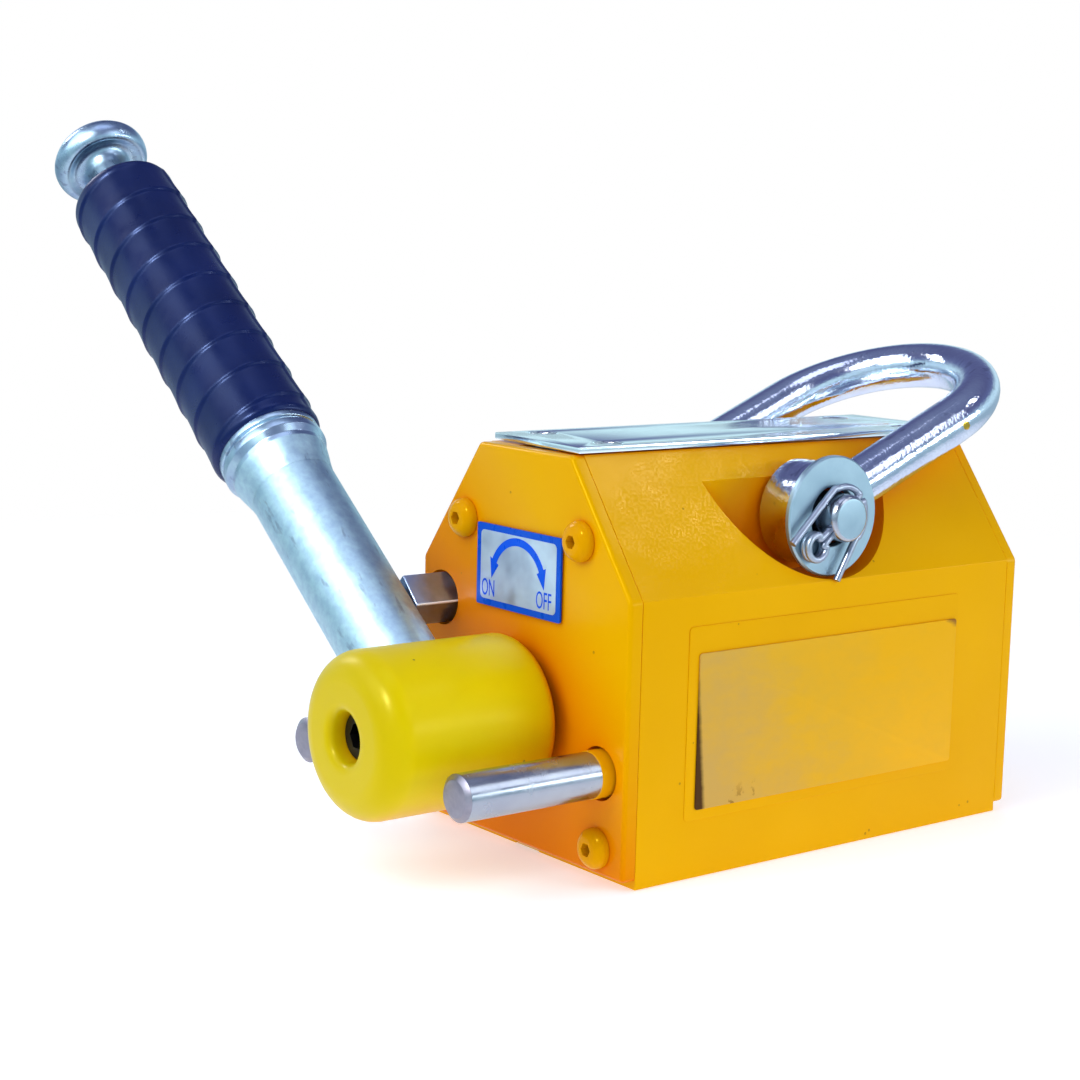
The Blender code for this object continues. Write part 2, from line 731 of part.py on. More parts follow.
def hub_fixings():
    washer = ring("hub_washer", HUB_WASHER_R, HUB_WASHER_BORE_R, HUB_WASHER_FOOT,
                  HUB_WASHER_TOP, zinc_steel(), 24)
    place(washer, (0, 0, AXIS_Z), FRONT)
    profile = [(0, HUB_SCREW_TOP), (HUB_SCREW_R - HUB_SCREW_EDGE, HUB_SCREW_TOP),
               (HUB_SCREW_R, HUB_SCREW_TOP - HUB_SCREW_EDGE), (HUB_SCREW_R, HUB_SCREW_SEAT),
               (HUB_SCREW_SHANK_R, HUB_SCREW_SEAT), (HUB_SCREW_SHANK_R, HUB_SCREW_END),
               (0, HUB_SCREW_END)]
    screw = turned("hub_screw", profile, black_steel(), sides=24)
    place(screw, (0, 0, AXIS_Z), FRONT)
    socket = rod("hub_screw_socket", HUB_SCREW_HEX_R, HUB_SCREW_HEX_DEPTH + EPS, sides=6,
                 cutter=True)
    place(socket, (0, -(HUB_SCREW_TOP - HUB_SCREW_HEX_DEPTH), AXIS_Z), FRONT)
    boolean(screw, socket)


def hub_cap(frame):
    """The moulded cover, open at the back and funnelled for the screw."""
    outer = arc((CAP_R - CAP_ROUND, CAP_FRONT - CAP_ROUND), CAP_ROUND, 90, 0, 3)
    back = arc((CAP_R - CAP_BACK_ROUND, CAP_BACK + CAP_BACK_ROUND), CAP_BACK_ROUND, 0, -90, 1)
    profile = ([(FUNNEL_FACE_R, CAP_FRONT)] + outer + back
               + [(CAP_BORE_R, CAP_BACK), (CAP_BORE_R, CAP_SHELF), (FUNNEL_R, CAP_SHELF),
                  (FUNNEL_R, FUNNEL_LIP)])
    cap = turned("hub_cap", profile, lemon_plastic(), sides=32, closed=True)
    place(cap, (0, 0, AXIS_Z), FRONT)
    round_hole(cap, "cap_tube_hole", TUBE_R + GAP, SOCKET_CUT, (0, 0, CAP_SOCKET_FOOT), UP,
               frame, 24)


def handle_tube(frame):
    tube = ring("handle_tube", TUBE_R, TUBE_BORE_R, TUBE_FOOT, TUBE_TOP, zinc_steel(), 24)
    place(tube, parent=frame)
    round_hole(tube, "tube_lock_hole", TUBE_LOCK_HOLE_R, TUBE_LOCK_HOLE_L,
               (LOCK_X, LEVER_Y + TUBE_R - TUBE_LOCK_HOLE_FOOT, LOCK_Z), REAR, sides=20)


def handle_collar(frame):
    inner = TUBE_R + GAP
    top = GRIP_FOOT - GAP
    flare = [(COLLAR_R, top), (COLLAR_R, COLLAR_SHOULDER), (COLLAR_WAIST_R, COLLAR_WAIST),
             (COLLAR_FOOT_R, COLLAR_FOOT), (inner, COLLAR_FOOT), (inner, top)]
    collar = turned("handle_collar", flare, zinc_steel(), 24, closed=True)
    place(collar, parent=frame)


def grip(frame):
    """The grip narrows slowly towards its closed top."""
    inner = TUBE_R + GAP
    profile = [(NECK_R + GAP, GRIP_TOP), (GRIP_TOP_R - GRIP_EDGE, GRIP_TOP),
               (GRIP_TOP_R, GRIP_TOP - GRIP_EDGE), (GRIP_FOOT_R, GRIP_FOOT + GRIP_EDGE),
               (GRIP_FOOT_R - GRIP_EDGE, GRIP_FOOT), (inner, GRIP_FOOT),
               (inner, TUBE_TOP + GAP), (NECK_R + GAP, TUBE_TOP + GAP)]
    part = turned("grip", profile, navy_rubber(), 28, closed=True)
    place(part, parent=frame)


def button(frame):
    """The push button, its rod and its return spring, inside the tube."""
    profile = [(0, BUTTON_END), (4.5 * MM, BUTTON_END - 0.3 * MM),
               (8.3 * MM, BUTTON_END - 1.5 * MM), (BUTTON_R, BUTTON_END - 4.4 * MM),
               (8.6 * MM, BUTTON_END - 7.0 * MM), (6.2 * MM, BUTTON_END - 7.0 * MM),
               (NECK_R, BUTTON_END - 8.6 * MM), (NECK_R, FLANGE_TOP), (FLANGE_R, FLANGE_TOP),
               (FLANGE_R, NECK_FOOT), (0, NECK_FOOT)]
    knob = turned("button_knob", profile, zinc_steel(), 24)
    place(knob, parent=frame)
    top = NECK_FOOT - GAP
    rod_profile = [(0, top), (ROD_R, top), (ROD_R, ROD_TIP + ROD_POINT_L),
                   (ROD_POINT_R, ROD_TIP), (0, ROD_TIP)]
    push_rod = turned("push_rod", rod_profile, zinc_steel(), 16)
    place(push_rod, parent=frame)
    bush = ring("end_bush", TUBE_BORE_R - GAP, NECK_R + END_BUSH_CLEARANCE, END_BUSH_FOOT,
                END_BUSH_TOP, brass(), 24)
    place(bush, parent=frame)
    seat = ring("spring_seat", TUBE_BORE_R - GAP, SEAT_BORE_R, SEAT_FOOT, SEAT_TOP, brass(),
                20)
    place(seat, parent=frame)
    coil = spring_points(BUTTON_SPRING_R, SEAT_TOP + BUTTON_SPRING_GAP,
                         NECK_FOOT - BUTTON_SPRING_GAP, 5, 8)
    spring = wire("button_spring", coil, BUTTON_SPRING_WIRE, zinc_steel(), resolution=0)
    place(spring, parent=frame)


# Shackle. Its own +Z runs from the cross pin to the top of the bow.

def shackle_frame():
    frame = bpy.data.objects.new("shackle_frame", None)
    parts.objects.link(frame)
    place(frame, (0, 0, PIN_Z), (-(math.pi / 2 - LEAN), 0, 0))
    return frame


def bow_points():
    points = [(LEG_X, 0, 5 * MM)]
    bend = arc((0, LEG_L), LEG_X, 0, 180, 18)
    points += [(x, 0, z) for x, z in bend]
    points.append((-LEG_X, 0, 5 * MM))
    return points


def shackle(frame):
    bow = wire("shackle", bow_points(), BAR_R, forged_zinc(), resolution=2)
    place(bow, parent=frame)
    for side in (-1, 1):
        eye = rod(f"shackle_eye_{side}", EYE_R, 2 * BAR_R - 0.1 * MM, sides=24, cutter=True)
        place(eye, ((side * LEG_X - BAR_R + 0.05 * MM), 0, 0), RIGHT, frame)
        boolean(bow, eye, "UNION")
    round_hole(bow, "shackle_pin_hole", PIN_R + 0.1 * MM, 64 * MM, (-32 * MM, 0, 0), RIGHT,
               frame, sides=24)


def shackle_pin():
    head_x = -WASHER_X
    edge = 0.6 * MM
    profile = [(0, PIN_END_X), (PIN_R - 0.8 * MM, PIN_END_X),
               (PIN_R, PIN_END_X - 0.8 * MM), (PIN_R, head_x), (PIN_HEAD_R, head_x),
               (PIN_HEAD_R, head_x - PIN_HEAD_T + edge), (PIN_HEAD_R - edge, head_x - PIN_HEAD_T),
               (0, head_x - PIN_HEAD_T)]
    pin = turned("shackle_pin", profile, zinc_steel(), 24)
    place(pin, (0, 0, PIN_Z), RIGHT)
    hole = rod("cotter_hole", COTTER_HOLE_R, 14 * MM, sides=16, cutter=True)
    place(hole, (COTTER_X, -7 * MM * math.cos(COTTER_TILT),
                 PIN_Z - 7 * MM * math.sin(COTTER_TILT)),
          (-(math.pi / 2 - COTTER_TILT), 0, 0))
    boolean(pin, hole)
    washer = ring("shackle_washer", WASHER_R, WASHER_BORE_R, WASHER_X, WASHER_X + WASHER_T,
                  zinc_steel(), 28)
    place(washer, (0, WASHER_SAG_Y, PIN_Z + WASHER_SAG_Z), RIGHT)


def cotter_point(along, across):
    """A point beside the pin: along the cross hole, and across it."""
    c = math.cos(COTTER_TILT)
    s = math.sin(COTTER_TILT)
    return (COTTER_X, along * c - across * s, PIN_Z + along * s + across * c)


def polar(angle):
    """A point about the pin, by its angle in degrees from +Y towards +Z."""
    a = math.radians(angle)
    return (COTTER_X - 0.2 * MM, COTTER_BEND_R * math.cos(a), PIN_Z + COTTER_BEND_R * math.sin(a))


def cotter_pin():
    """One wire: a bent leg, the eye behind the cross hole, and the other leg."""
    opening = math.asin(COTTER_LANE / COTTER_LOOP_R)
    points = [(COTTER_X - 0.1 * MM, -11.9 * MM, 55.0 * MM)]
    points += [polar(a) for a in (126, 108, 90, 74, 60)]
    points.append(cotter_point(4.95 * MM, 1.35 * MM))
    points.append(cotter_point(4.3 * MM, COTTER_LANE))
    for i in range(15):
        a = opening + (2 * math.pi - 2 * opening) * i / 14
        points.append(cotter_point(COTTER_LOOP_R * math.cos(a) - COTTER_LOOP_OFFSET,
                                   COTTER_LOOP_R * math.sin(a)))
    points.append(cotter_point(4.3 * MM, -COTTER_LANE))
    points.append(cotter_point(4.95 * MM, -1.35 * MM))
    points += [polar(a) for a in (14, -4, -22, -40, -56)]
    points.append((COTTER_X - 0.1 * MM, -1.0 * MM, 47.9 * MM))
    wire("cotter_pin", points, COTTER_R, zinc_steel(), resolution=1)


def build_body():
    pole_block("left_pole_block", -1)
    pole_block("right_pole_block", 1)
    bottom_strip()
    keeper_bar()
    stator_magnets()
    top_plate()
    end_cover("front_cover", -1)
    end_cover("rear_cover", 1)
    cover_screws()
    bushes()
    stop_pins()
    lock_stud()
    labels()


def build_rotor_and_lever():
    rotor_poles()
    rotor_core()
    rotor_shafts()
    shaft_key()
    frame = lever_frame()
    hub(frame)
    hub_fixings()
    hub_cap(frame)
    handle_tube(frame)
    handle_collar(frame)
    grip(frame)
    button(frame)
    lock_pin()


def build_shackle():
    frame = shackle_frame()
    shackle(frame)
    shackle_pin()
    cotter_pin()


build_body()
build_rotor_and_lever()
build_shackle()
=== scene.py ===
"""Looks of the lifting magnet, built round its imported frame."""
import json
import math

import bmesh
import bpy
from mathutils import Matrix, Vector


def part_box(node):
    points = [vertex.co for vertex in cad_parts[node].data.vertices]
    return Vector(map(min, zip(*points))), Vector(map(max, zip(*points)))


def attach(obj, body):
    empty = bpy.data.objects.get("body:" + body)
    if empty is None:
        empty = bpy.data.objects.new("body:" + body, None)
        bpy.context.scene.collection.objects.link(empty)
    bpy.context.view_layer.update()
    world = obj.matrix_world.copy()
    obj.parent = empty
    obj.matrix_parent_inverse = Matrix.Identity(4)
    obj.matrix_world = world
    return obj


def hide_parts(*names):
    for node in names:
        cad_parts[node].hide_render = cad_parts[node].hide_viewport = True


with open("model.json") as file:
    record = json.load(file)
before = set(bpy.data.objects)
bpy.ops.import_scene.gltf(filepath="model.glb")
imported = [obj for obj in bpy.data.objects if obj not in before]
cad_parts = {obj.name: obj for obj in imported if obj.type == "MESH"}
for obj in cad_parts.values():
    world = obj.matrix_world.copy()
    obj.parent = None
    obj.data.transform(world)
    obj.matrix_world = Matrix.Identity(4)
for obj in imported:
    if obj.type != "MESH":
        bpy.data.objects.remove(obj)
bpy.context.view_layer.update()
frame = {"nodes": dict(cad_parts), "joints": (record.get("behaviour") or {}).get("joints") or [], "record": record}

MM = 0.001

# Places and sizes that come from the frame
JOINTS = {joint["name"]: joint for joint in frame["joints"]}
HUB_AXIS = Vector(JOINTS["lever_turn"]["pos_m"])
PIN_AXIS = Vector(JOINTS["shackle_swing"]["pos_m"])
LEVER_DIR = -Vector(JOINTS["button_push"]["axis"])
COVER_LOW, COVER_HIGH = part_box("front_cover")
BLOCK_LOW, BLOCK_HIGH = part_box("right_pole_block")
HALF_W = COVER_HIGH.x
COVER_FACE = -COVER_LOW.y
BODY_H = COVER_HIGH.z
AXIS_Z = HUB_AXIS.z
CAP_FACE = -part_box("hub_cap")[0].y

# Body section
SHOULDER_Z = 47.9 * MM
TOP_HALF_W = 12.8 * MM
BORE_R = 18.5 * MM
SLOT_X = 5.15 * MM
STRIP_X = BLOCK_LOW.x
POCKET_R = 22.0 * MM
POCKET_FLOOR_X = 16.6 * MM
PIN_BORE_R = 4.45 * MM
SPIGOT_DEPTH = 10.4 * MM
PIN_SEAT = 44.1 * MM  # shoulders of the pins and the stud, in front of the middle
SPIGOT_END = 34.1 * MM

# Lever, along its own +Z from the hub's axis
TUBE_R = 8.0 * MM
GRIP_FOOT = 67.0 * MM
GRIP_TOP = 141.0 * MM
GRIP_BORE_END = 138.5 * MM
GRIP_PITCH = 8.6 * MM
GRIP_LIP = 0.42 * MM
GRIP_SEAM = -2.55  # radians about the lever
BUTTON_END = 157.8 * MM
TUBE_TOP = 138.2 * MM
COLLAR_FLARE = 62.0 * MM

# Shackle, along its own +Z from the cross pin
LEAN = math.radians(22.8)
LEG_X = 22.0 * MM
BAR_R = 4.37 * MM
LEG_L = 37.3 * MM
EYE_R = 9.2 * MM

# Turns that point a piece's own +Z outwards
FRONT = Matrix.Rotation(math.pi / 2, 4, "X")
REAR = Matrix.Rotation(-math.pi / 2, 4, "X")
RIGHT = Matrix.Rotation(math.pi / 2, 4, "Y")
LEFT = Matrix.Rotation(-math.pi / 2, 4, "Y")


def lever_matrix():
    """The lever's own space: +Z up the tube from the hub's axis, +Y to the front."""
    along = LEVER_DIR.normalized()
    across = Vector((0, -1, 0))
    side = across.cross(along)
    turn = Matrix((side, across, along)).transposed().to_4x4()
    return Matrix.Translation(HUB_AXIS) @ turn


LEVER = lever_matrix()
SHACKLE = Matrix.Translation(PIN_AXIS) @ Matrix.Rotation(-(math.pi / 2 - LEAN), 4, "X")


# ---- materials

CORNER_REACH = 20 * MM
# colour of the painted shade on the enamel
SHADE_ORANGE = (0.78, 0.19, 0.0)
GRIT = (0.30, 0.14, 0.01)
RUST = (0.30, 0.16, 0.05)
DARK_MARK = (0.12, 0.13, 0.22)
PAINT_FLECK = (0.80, 0.50, 0.06)


def fill_ramp(node, stops):
    """Each stop of a colour ramp is (place, grey or colour)."""
    elements = node.color_ramp.elements
    while len(elements) < len(stops):
        elements.new(0.5)
    for element, (place, colour) in zip(elements, stops):
        if not isinstance(colour, tuple):
            colour = (colour, colour, colour)
        element.position = place
        element.color = (*colour, 1.0)


class Look:
    """A Principled material with short calls for the nodes that it needs."""

    def __init__(self, name, **sockets):
        self.mat = bpy.data.materials.new(name)
        self.mat.use_nodes = True
        self.tree = self.mat.node_tree
        self.shader = self.tree.nodes["Principled BSDF"]
        self.coords = self.tree.nodes.new("ShaderNodeTexCoord").outputs["Object"]
        for key, value in sockets.items():
            self.shader.inputs[key.replace("_", " ")].default_value = value

    def node(self, kind, **values):
        made = self.tree.nodes.new(kind)
        for key, value in values.items():
            setattr(made, key, value)
        return made

    def link(self, a, b):
        self.tree.links.new(a, b)

    def put(self, value, socket):
        """Link another node's socket, or set a number or a colour."""
        if isinstance(value, bpy.types.NodeSocket):
            self.link(value, socket)
        else:
            socket.default_value = (*value, 1.0) if isinstance(value, tuple) else value

    def fill(self, made, **values):
        """Set or link a node's inputs by name."""
        for key, value in values.items():
            self.put(value, made.inputs[key])
        return made

    def stretch(self, scale):
        made = self.node("ShaderNodeMapping")
        made.inputs["Scale"].default_value = scale
        self.link(self.coords, made.inputs["Vector"])
        return made.outputs["Vector"]

    def noise(self, scale, detail=3.0, rough=0.5, vector=None):
        made = self.fill(self.node("ShaderNodeTexNoise"), Scale=scale, Detail=detail,
                         Roughness=rough, Vector=vector or self.coords)
        return made.outputs["Fac"]

    def ramp(self, value, *stops):
        made = self.node("ShaderNodeValToRGB")
        fill_ramp(made, stops)
        self.link(value, made.inputs["Fac"])
        return made.outputs["Color"]

    def mix(self, factor, a, b):
        """Colour a where the factor is 0, colour b where it is 1."""
        made = self.node("ShaderNodeMix", data_type="RGBA")
        for value, socket in ((factor, made.inputs[0]), (a, made.inputs[6]), (b, made.inputs[7])):
            self.put(value, socket)
        return made.outputs[2]

    def maths(self, operation, a, b=0.0, c=0.0, clamp=False):
        made = self.node("ShaderNodeMath", operation=operation, use_clamp=clamp)
        for value, socket in zip((a, b, c), made.inputs):
            self.put(value, socket)
        return made.outputs[0]

    def place(self):
        """X, Y and Z of a point in the piece's own space."""
        split = self.node("ShaderNodeSeparateXYZ")
        self.link(self.coords, split.inputs[0])
        return split.outputs

    def corners(self, closed, open_air):
        """1 in inner corners, 0 in the open; it masks painted corner shade."""
        made = self.fill(self.node("ShaderNodeAmbientOcclusion", samples=8), Distance=CORNER_REACH)
        return self.ramp(made.outputs["AO"], (closed, 1.0), (open_air, 0.0))

    def reflect(self, tint, level=None):
        """Colour of the gloss, and how much of it there is."""
        self.put(tint, self.shader.inputs["Specular Tint"])
        if level is not None:
            self.put(level, self.shader.inputs["Specular IOR Level"])

    def colour(self, socket):
        self.link(socket, self.shader.inputs["Base Color"])

    def roughness(self, cloud, low, high, start=0.3):
        self.link(self.ramp(cloud, (start, low), (0.7, high)), self.shader.inputs["Roughness"])

    def bump(self, *layers):
        """Stack bumps; each layer is (height, distance in metres, strength)."""
        normal = None
        for height, distance, strength in layers:
            made = self.fill(self.node("ShaderNodeBump"), Height=height, Distance=distance,
                             Strength=strength)
            if normal is not None:
                self.link(normal, made.inputs["Normal"])
            normal = made.outputs["Normal"]
        self.link(normal, self.shader.inputs["Normal"])

    def specks(self, scale, size):
        """1 in small scattered spots, 0 elsewhere."""
        rarity = 0.62
        made = self.fill(self.node("ShaderNodeTexVoronoi"), Scale=scale, Vector=self.coords)
        near = self.maths("LESS_THAN", made.outputs["Distance"], size)
        rare = self.maths("GREATER_THAN", self.noise(scale * 0.31, 1.0), rarity)
        return self.maths("MULTIPLY", near, rare)


def paint_look(name, base, deep, light, falloff_shade=False):
    """Gloss enamel: faint orange peel, soft tone changes and a few specks of grit.

    It is painted orange in the corners of its upper part, as painted shade. The kind with falling
    shade has painted shade in every corner, and painted falloff of light that turns it orange
    towards the part's left and its foot.
    """
    look = Look(name, Metallic=0.0, IOR=1.45)
    look.reflect((1.0, 0.7, 0.03), 0.15)
    tone = look.ramp(look.noise(24, 2.0), (0.3, deep), (0.55, base), (0.8, light))
    place = look.place()
    # painted shade: orange where the part's corners close in, in its upper part only
    depth = look.corners(0.3, 0.9)
    if not falloff_shade:
        upper = look.ramp(place["Y"], (30 * MM, 0.0), (45 * MM, 1.0))
        depth = look.maths("MULTIPLY", depth, upper)
    tone = look.mix(depth, tone, SHADE_ORANGE)
    if falloff_shade:
        # painted shade: light falling off towards the part's left and its foot
        slope = look.maths("ADD", place["X"], place["Y"])
        tone = look.mix(look.ramp(slope, (0.0, 0.9), (65 * MM, 0.0)), tone, SHADE_ORANGE)
    grit = look.specks(260, 0.07)
    look.colour(look.mix(look.maths("MULTIPLY", grit, 0.6), tone, GRIT))
    look.roughness(look.noise(160, 4.0), 0.15, 0.26)
    peel = look.noise(900, 2.0)
    swell = look.noise(70, 2.0)
    look.bump((peel, 0.03 * MM, 0.25), (swell, 0.7 * MM, 0.4))
    return look.mat


def steel_look(name, base, dark, rough, grain=95, contrast=0.4, lines=(1, 1, 1), bump=0.3, rust=0.0,
               marks=0.0, pit=0.02 * MM, chip=None):
    """Bright plated steel: cloudy tone, fine lines and pits, with rust or dark marks if asked.

    A chip is a place where a small fleck of yellow paint sticks.
    """
    look = Look(name, Metallic=1.0)
    clouds = look.noise(grain, 5.0, 0.6)
    tone = look.ramp(clouds, (0.5 - contrast / 2, dark), (0.5 + contrast / 2, base))
    if rust > 0:
        spots = look.ramp(look.noise(330, 4.0, 0.7), (0.69, 0.0), (0.76, rust))
        tone = look.mix(spots, tone, RUST)
    if marks > 0:
        dashes = look.noise(420, 3.0, 0.6, look.stretch((1, 1, 0.3)))
        tone = look.mix(look.ramp(dashes, (0.62, 0.0), (0.68, marks)), tone, DARK_MARK)
    if chip is not None:
        away = look.node("ShaderNodeVectorMath", operation="DISTANCE")
        away.inputs[1].default_value = chip
        look.link(look.coords, away.inputs[0])
        ragged = look.maths("MULTIPLY_ADD", look.noise(900, 2.0), 1.2 * MM, away.outputs["Value"])
        tone = look.mix(look.maths("LESS_THAN", ragged, 1.5 * MM), tone, PAINT_FLECK)
    look.colour(tone)
    look.roughness(look.noise(240, 4.0, 0.6), *rough, start=0.35)
    scratches = look.noise(700, 2.0, 0.5, look.stretch(lines))
    pits = look.noise(1500, 2.0)
    swell = look.noise(180, 2.0)
    look.bump((scratches, 0.02 * MM, bump), (pits, pit, bump), (swell, 0.1 * MM, bump * 0.7))
    return look.mat


def rubber_look():
    """Moulded rubber: navy, a little dusty in scattered spots."""
    look = Look("grip_rubber", Metallic=0.0, IOR=1.47)
    look.reflect((0.35, 0.5, 1.0))
    tone = look.ramp(look.noise(70, 4.0), (0.3, (0.002, 0.007, 0.055)), (0.75, (0.004, 0.012, 0.085)))
    dust = look.ramp(look.noise(900, 5.0, 0.7), (0.62, 0.0), (0.8, 0.2))
    look.colour(look.mix(dust, tone, (0.05, 0.06, 0.12)))
    look.roughness(look.noise(300, 4.0), 0.26, 0.38)
    look.bump((look.noise(2200, 2.0), 0.04 * MM, 0.3), (look.noise(240, 3.0), 0.1 * MM, 0.3))
    return look.mat


def lemon_look():
    """Soft moulded plastic, a little translucent, with a satin skin; painted shade turns it orange in its corners
    and darkens its front face.
    """
    look = Look("cap_plastic", Metallic=0.0, IOR=1.42, Subsurface_Weight=0.15, Subsurface_Scale=2 * MM)
    look.reflect((1.0, 0.9, 0.2), 0.36)
    look.shader.inputs["Subsurface Radius"].default_value = (1.0, 0.6, 0.1)
    tone = look.ramp(look.noise(40, 3.0), (0.3, (0.75, 0.56, 0.0)), (0.7, (0.82, 0.62, 0.0)))
    # painted shade: orange in the corners, where the cap meets the cover
    tone = look.mix(look.corners(0.2, 0.7), tone, (0.75, 0.30, 0.0))
    # painted shade: the front face darker
    face = look.ramp(look.place()["Z"], (CAP_FACE - 3 * MM, 0.0), (CAP_FACE - 0.5 * MM, 1.0))
    tone = look.mix(face, tone, (0.64, 0.47, 0.0))
    marks = look.specks(350, 0.08)
    look.colour(look.mix(marks, tone, (0.3, 0.22, 0.02)))
    look.roughness(look.noise(120, 4.0), 0.30, 0.38)
    look.bump((look.noise(1400, 2.0), 0.03 * MM, 0.2), (look.noise(55, 2.0), 0.4 * MM, 0.25))
    return look.mat


def film_look(name, base, dark, rough=0.3):
    """Printed film with a thin clear coat."""
    look = Look(name, Metallic=0.0, Coat_Weight=0.05, Coat_Roughness=0.1, IOR=1.4)
    look.reflect((0.1, 0.4, 1.0))
    look.colour(look.ramp(look.noise(90, 3.0), (0.3, dark), (0.7, base)))
    look.roughness(look.noise(300, 3.0), rough * 0.8, rough * 1.3)
    look.bump((look.noise(500, 3.0), 0.03 * MM, 0.3))
    return look.mat


def label_silver_look():
    """Brushed aluminium foil, scuffed in soft patches."""
    look = Look("label_silver", Metallic=0.85)
    brushed = look.noise(60, 4.0, 0.6, look.stretch((1, 1, 14)))
    clouds = look.noise(110, 3.0, 0.5)
    tone = look.ramp(clouds, (0.35, (0.52, 0.56, 0.64)), (0.6, (0.74, 0.80, 0.86)))
    look.colour(tone)
    look.roughness(look.noise(200, 3.0), 0.28, 0.5)
    look.bump((brushed, 0.02 * MM, 0.3), (clouds, 0.06 * MM, 0.3))
    return look.mat


def worn_plate_look():
    """A rating plate whose print has worn off.

    Dull grey-brown is left near the front, and the plate is darker along the front edge
    and in the upper rear corner. The plate's own x runs to the rear and y runs up.
    """
    look = Look("worn_plate", Metallic=0.0, IOR=1.42)
    look.reflect((1.0, 0.7, 0.1), 0.2)
    place = look.place()
    x, y = place["X"], place["Y"]
    patches = look.noise(60, 5.0, 0.65, look.stretch((1, 1.4, 1)))
    fine = look.noise(260, 4.0, 0.7, look.stretch((0.35, 1.6, 1)))
    worn = look.maths("MULTIPLY_ADD", x, -10.0, 0.45)
    worn = look.maths("MULTIPLY_ADD", y, -7.0, worn)
    worn = look.maths("MULTIPLY_ADD", patches, 0.6, worn)
    worn = look.maths("MULTIPLY_ADD", fine, 0.15, worn)
    tone = look.ramp(worn, (0.4, (0.84, 0.42, 0.001)), (0.7, (0.74, 0.40, 0.02)),
                     (1.0, (0.60, 0.36, 0.085)))
    front_edge = look.maths("MULTIPLY_ADD", y, -0.09, -29 * MM)
    wedge = look.maths("SUBTRACT", front_edge, x)
    edge_darkening = look.maths("MULTIPLY_ADD", wedge, 1500.0, 0.1)
    edge_darkening = look.maths("MULTIPLY_ADD", fine, 0.9, edge_darkening)
    edge_darkening = look.maths("MULTIPLY", edge_darkening, 0.8, clamp=True)
    tone = look.mix(edge_darkening, tone, (0.07, 0.03, 0.012))
    corner = look.maths("MULTIPLY_ADD", x, 0.55, y)
    corner = look.maths("MULTIPLY_ADD", fine, 0.003, corner)
    mark = look.maths("MULTIPLY_ADD", corner, 900.0, -49.3, clamp=True)
    tone = look.mix(look.maths("MULTIPLY", mark, 0.8), tone, (0.20, 0.05, 0.02))
    crumbs = look.ramp(look.noise(520, 3.0, 0.6), (0.52, 0.0), (0.58, 0.9))
    for limit in (look.ramp(y, (12.1 * MM, 1.0), (12.9 * MM, 0.0)),
                  look.maths("LESS_THAN", x, -18.5 * MM), look.maths("GREATER_THAN", x, -24.5 * MM)):
        crumbs = look.maths("MULTIPLY", crumbs, limit)
    tone = look.mix(look.maths("MULTIPLY", crumbs, 0.85), tone, (0.22, 0.09, 0.01))
    look.colour(tone)
    look.roughness(patches, 0.3, 0.5)
    look.bump((look.noise(400, 3.0), 0.04 * MM, 0.3), (fine, 0.08 * MM, 0.3))
    return look.mat


YELLOW = ((0.82, 0.40, 0.0), (0.78, 0.37, 0.0), (0.85, 0.425, 0.001))
# Enamels with painted corner shade; the cover's copy also has painted falloff shade towards its left and foot
PAINT = paint_look("body_paint", *YELLOW)
COVER_PAINT = paint_look("cover_paint", *YELLOW, falloff_shade=True)
SCREW_PAINT = paint_look("screw_paint", (0.80, 0.36, 0.001), (0.74, 0.30, 0.0), (0.84, 0.41, 0.002))
TUBE_STEEL = steel_look("tube_zinc", (0.47, 0.67, 0.74), (0.37, 0.54, 0.65), (0.40, 0.52), 700, 0.3,
                        rust=0.15, marks=0.4)
KNOB_STEEL = steel_look("knob_zinc", (0.43, 0.60, 0.70), (0.31, 0.42, 0.58), (0.25, 0.38), 260, 0.3,
                        marks=0.4)
BRIGHT_STEEL = steel_look("ground_steel", (0.47, 0.52, 0.57), (0.35, 0.38, 0.46), (0.18, 0.3), 95,
                          0.5, (1, 0.05, 1), 0.12, marks=0.3)
FORGED_STEEL = steel_look("forged_chrome", (0.78, 0.86, 0.95), (0.60, 0.66, 0.84), (0.08, 0.18), 95,
                          0.5, bump=0.75, rust=0.35, marks=0.3, pit=0.06 * MM,
                          chip=(26.37 * MM, 0.0, 37 * MM))
WASHER_STEEL = steel_look("washer_zinc", (0.38, 0.53, 0.61), (0.32, 0.46, 0.55), (0.38, 0.5), 200,
                          0.5, bump=0.05)
WIRE_STEEL = steel_look("wire_zinc", (0.44, 0.52, 0.60), (0.28, 0.31, 0.42), (0.34, 0.45), 300, 0.5,
                        bump=0.05)
PLATE_STEEL = steel_look("top_plate_steel", (0.90, 1.0, 1.0), (0.84, 0.96, 1.0), (0.13, 0.22), 120,
                         0.5, (1, 0.06, 1), 0.04)
SAWN_STEEL = steel_look("sawn_steel", (0.36, 0.34, 0.40), (0.24, 0.23, 0.28), (0.34, 0.5), 300, 0.4,
                        (0.2, 1, 1), 0.4)
STUD_STEEL = steel_look("stud_zinc", (0.38, 0.47, 0.66), (0.26, 0.33, 0.46), (0.34, 0.5), 200, 0.4,
                        (1, 0.1, 1), 0.1)
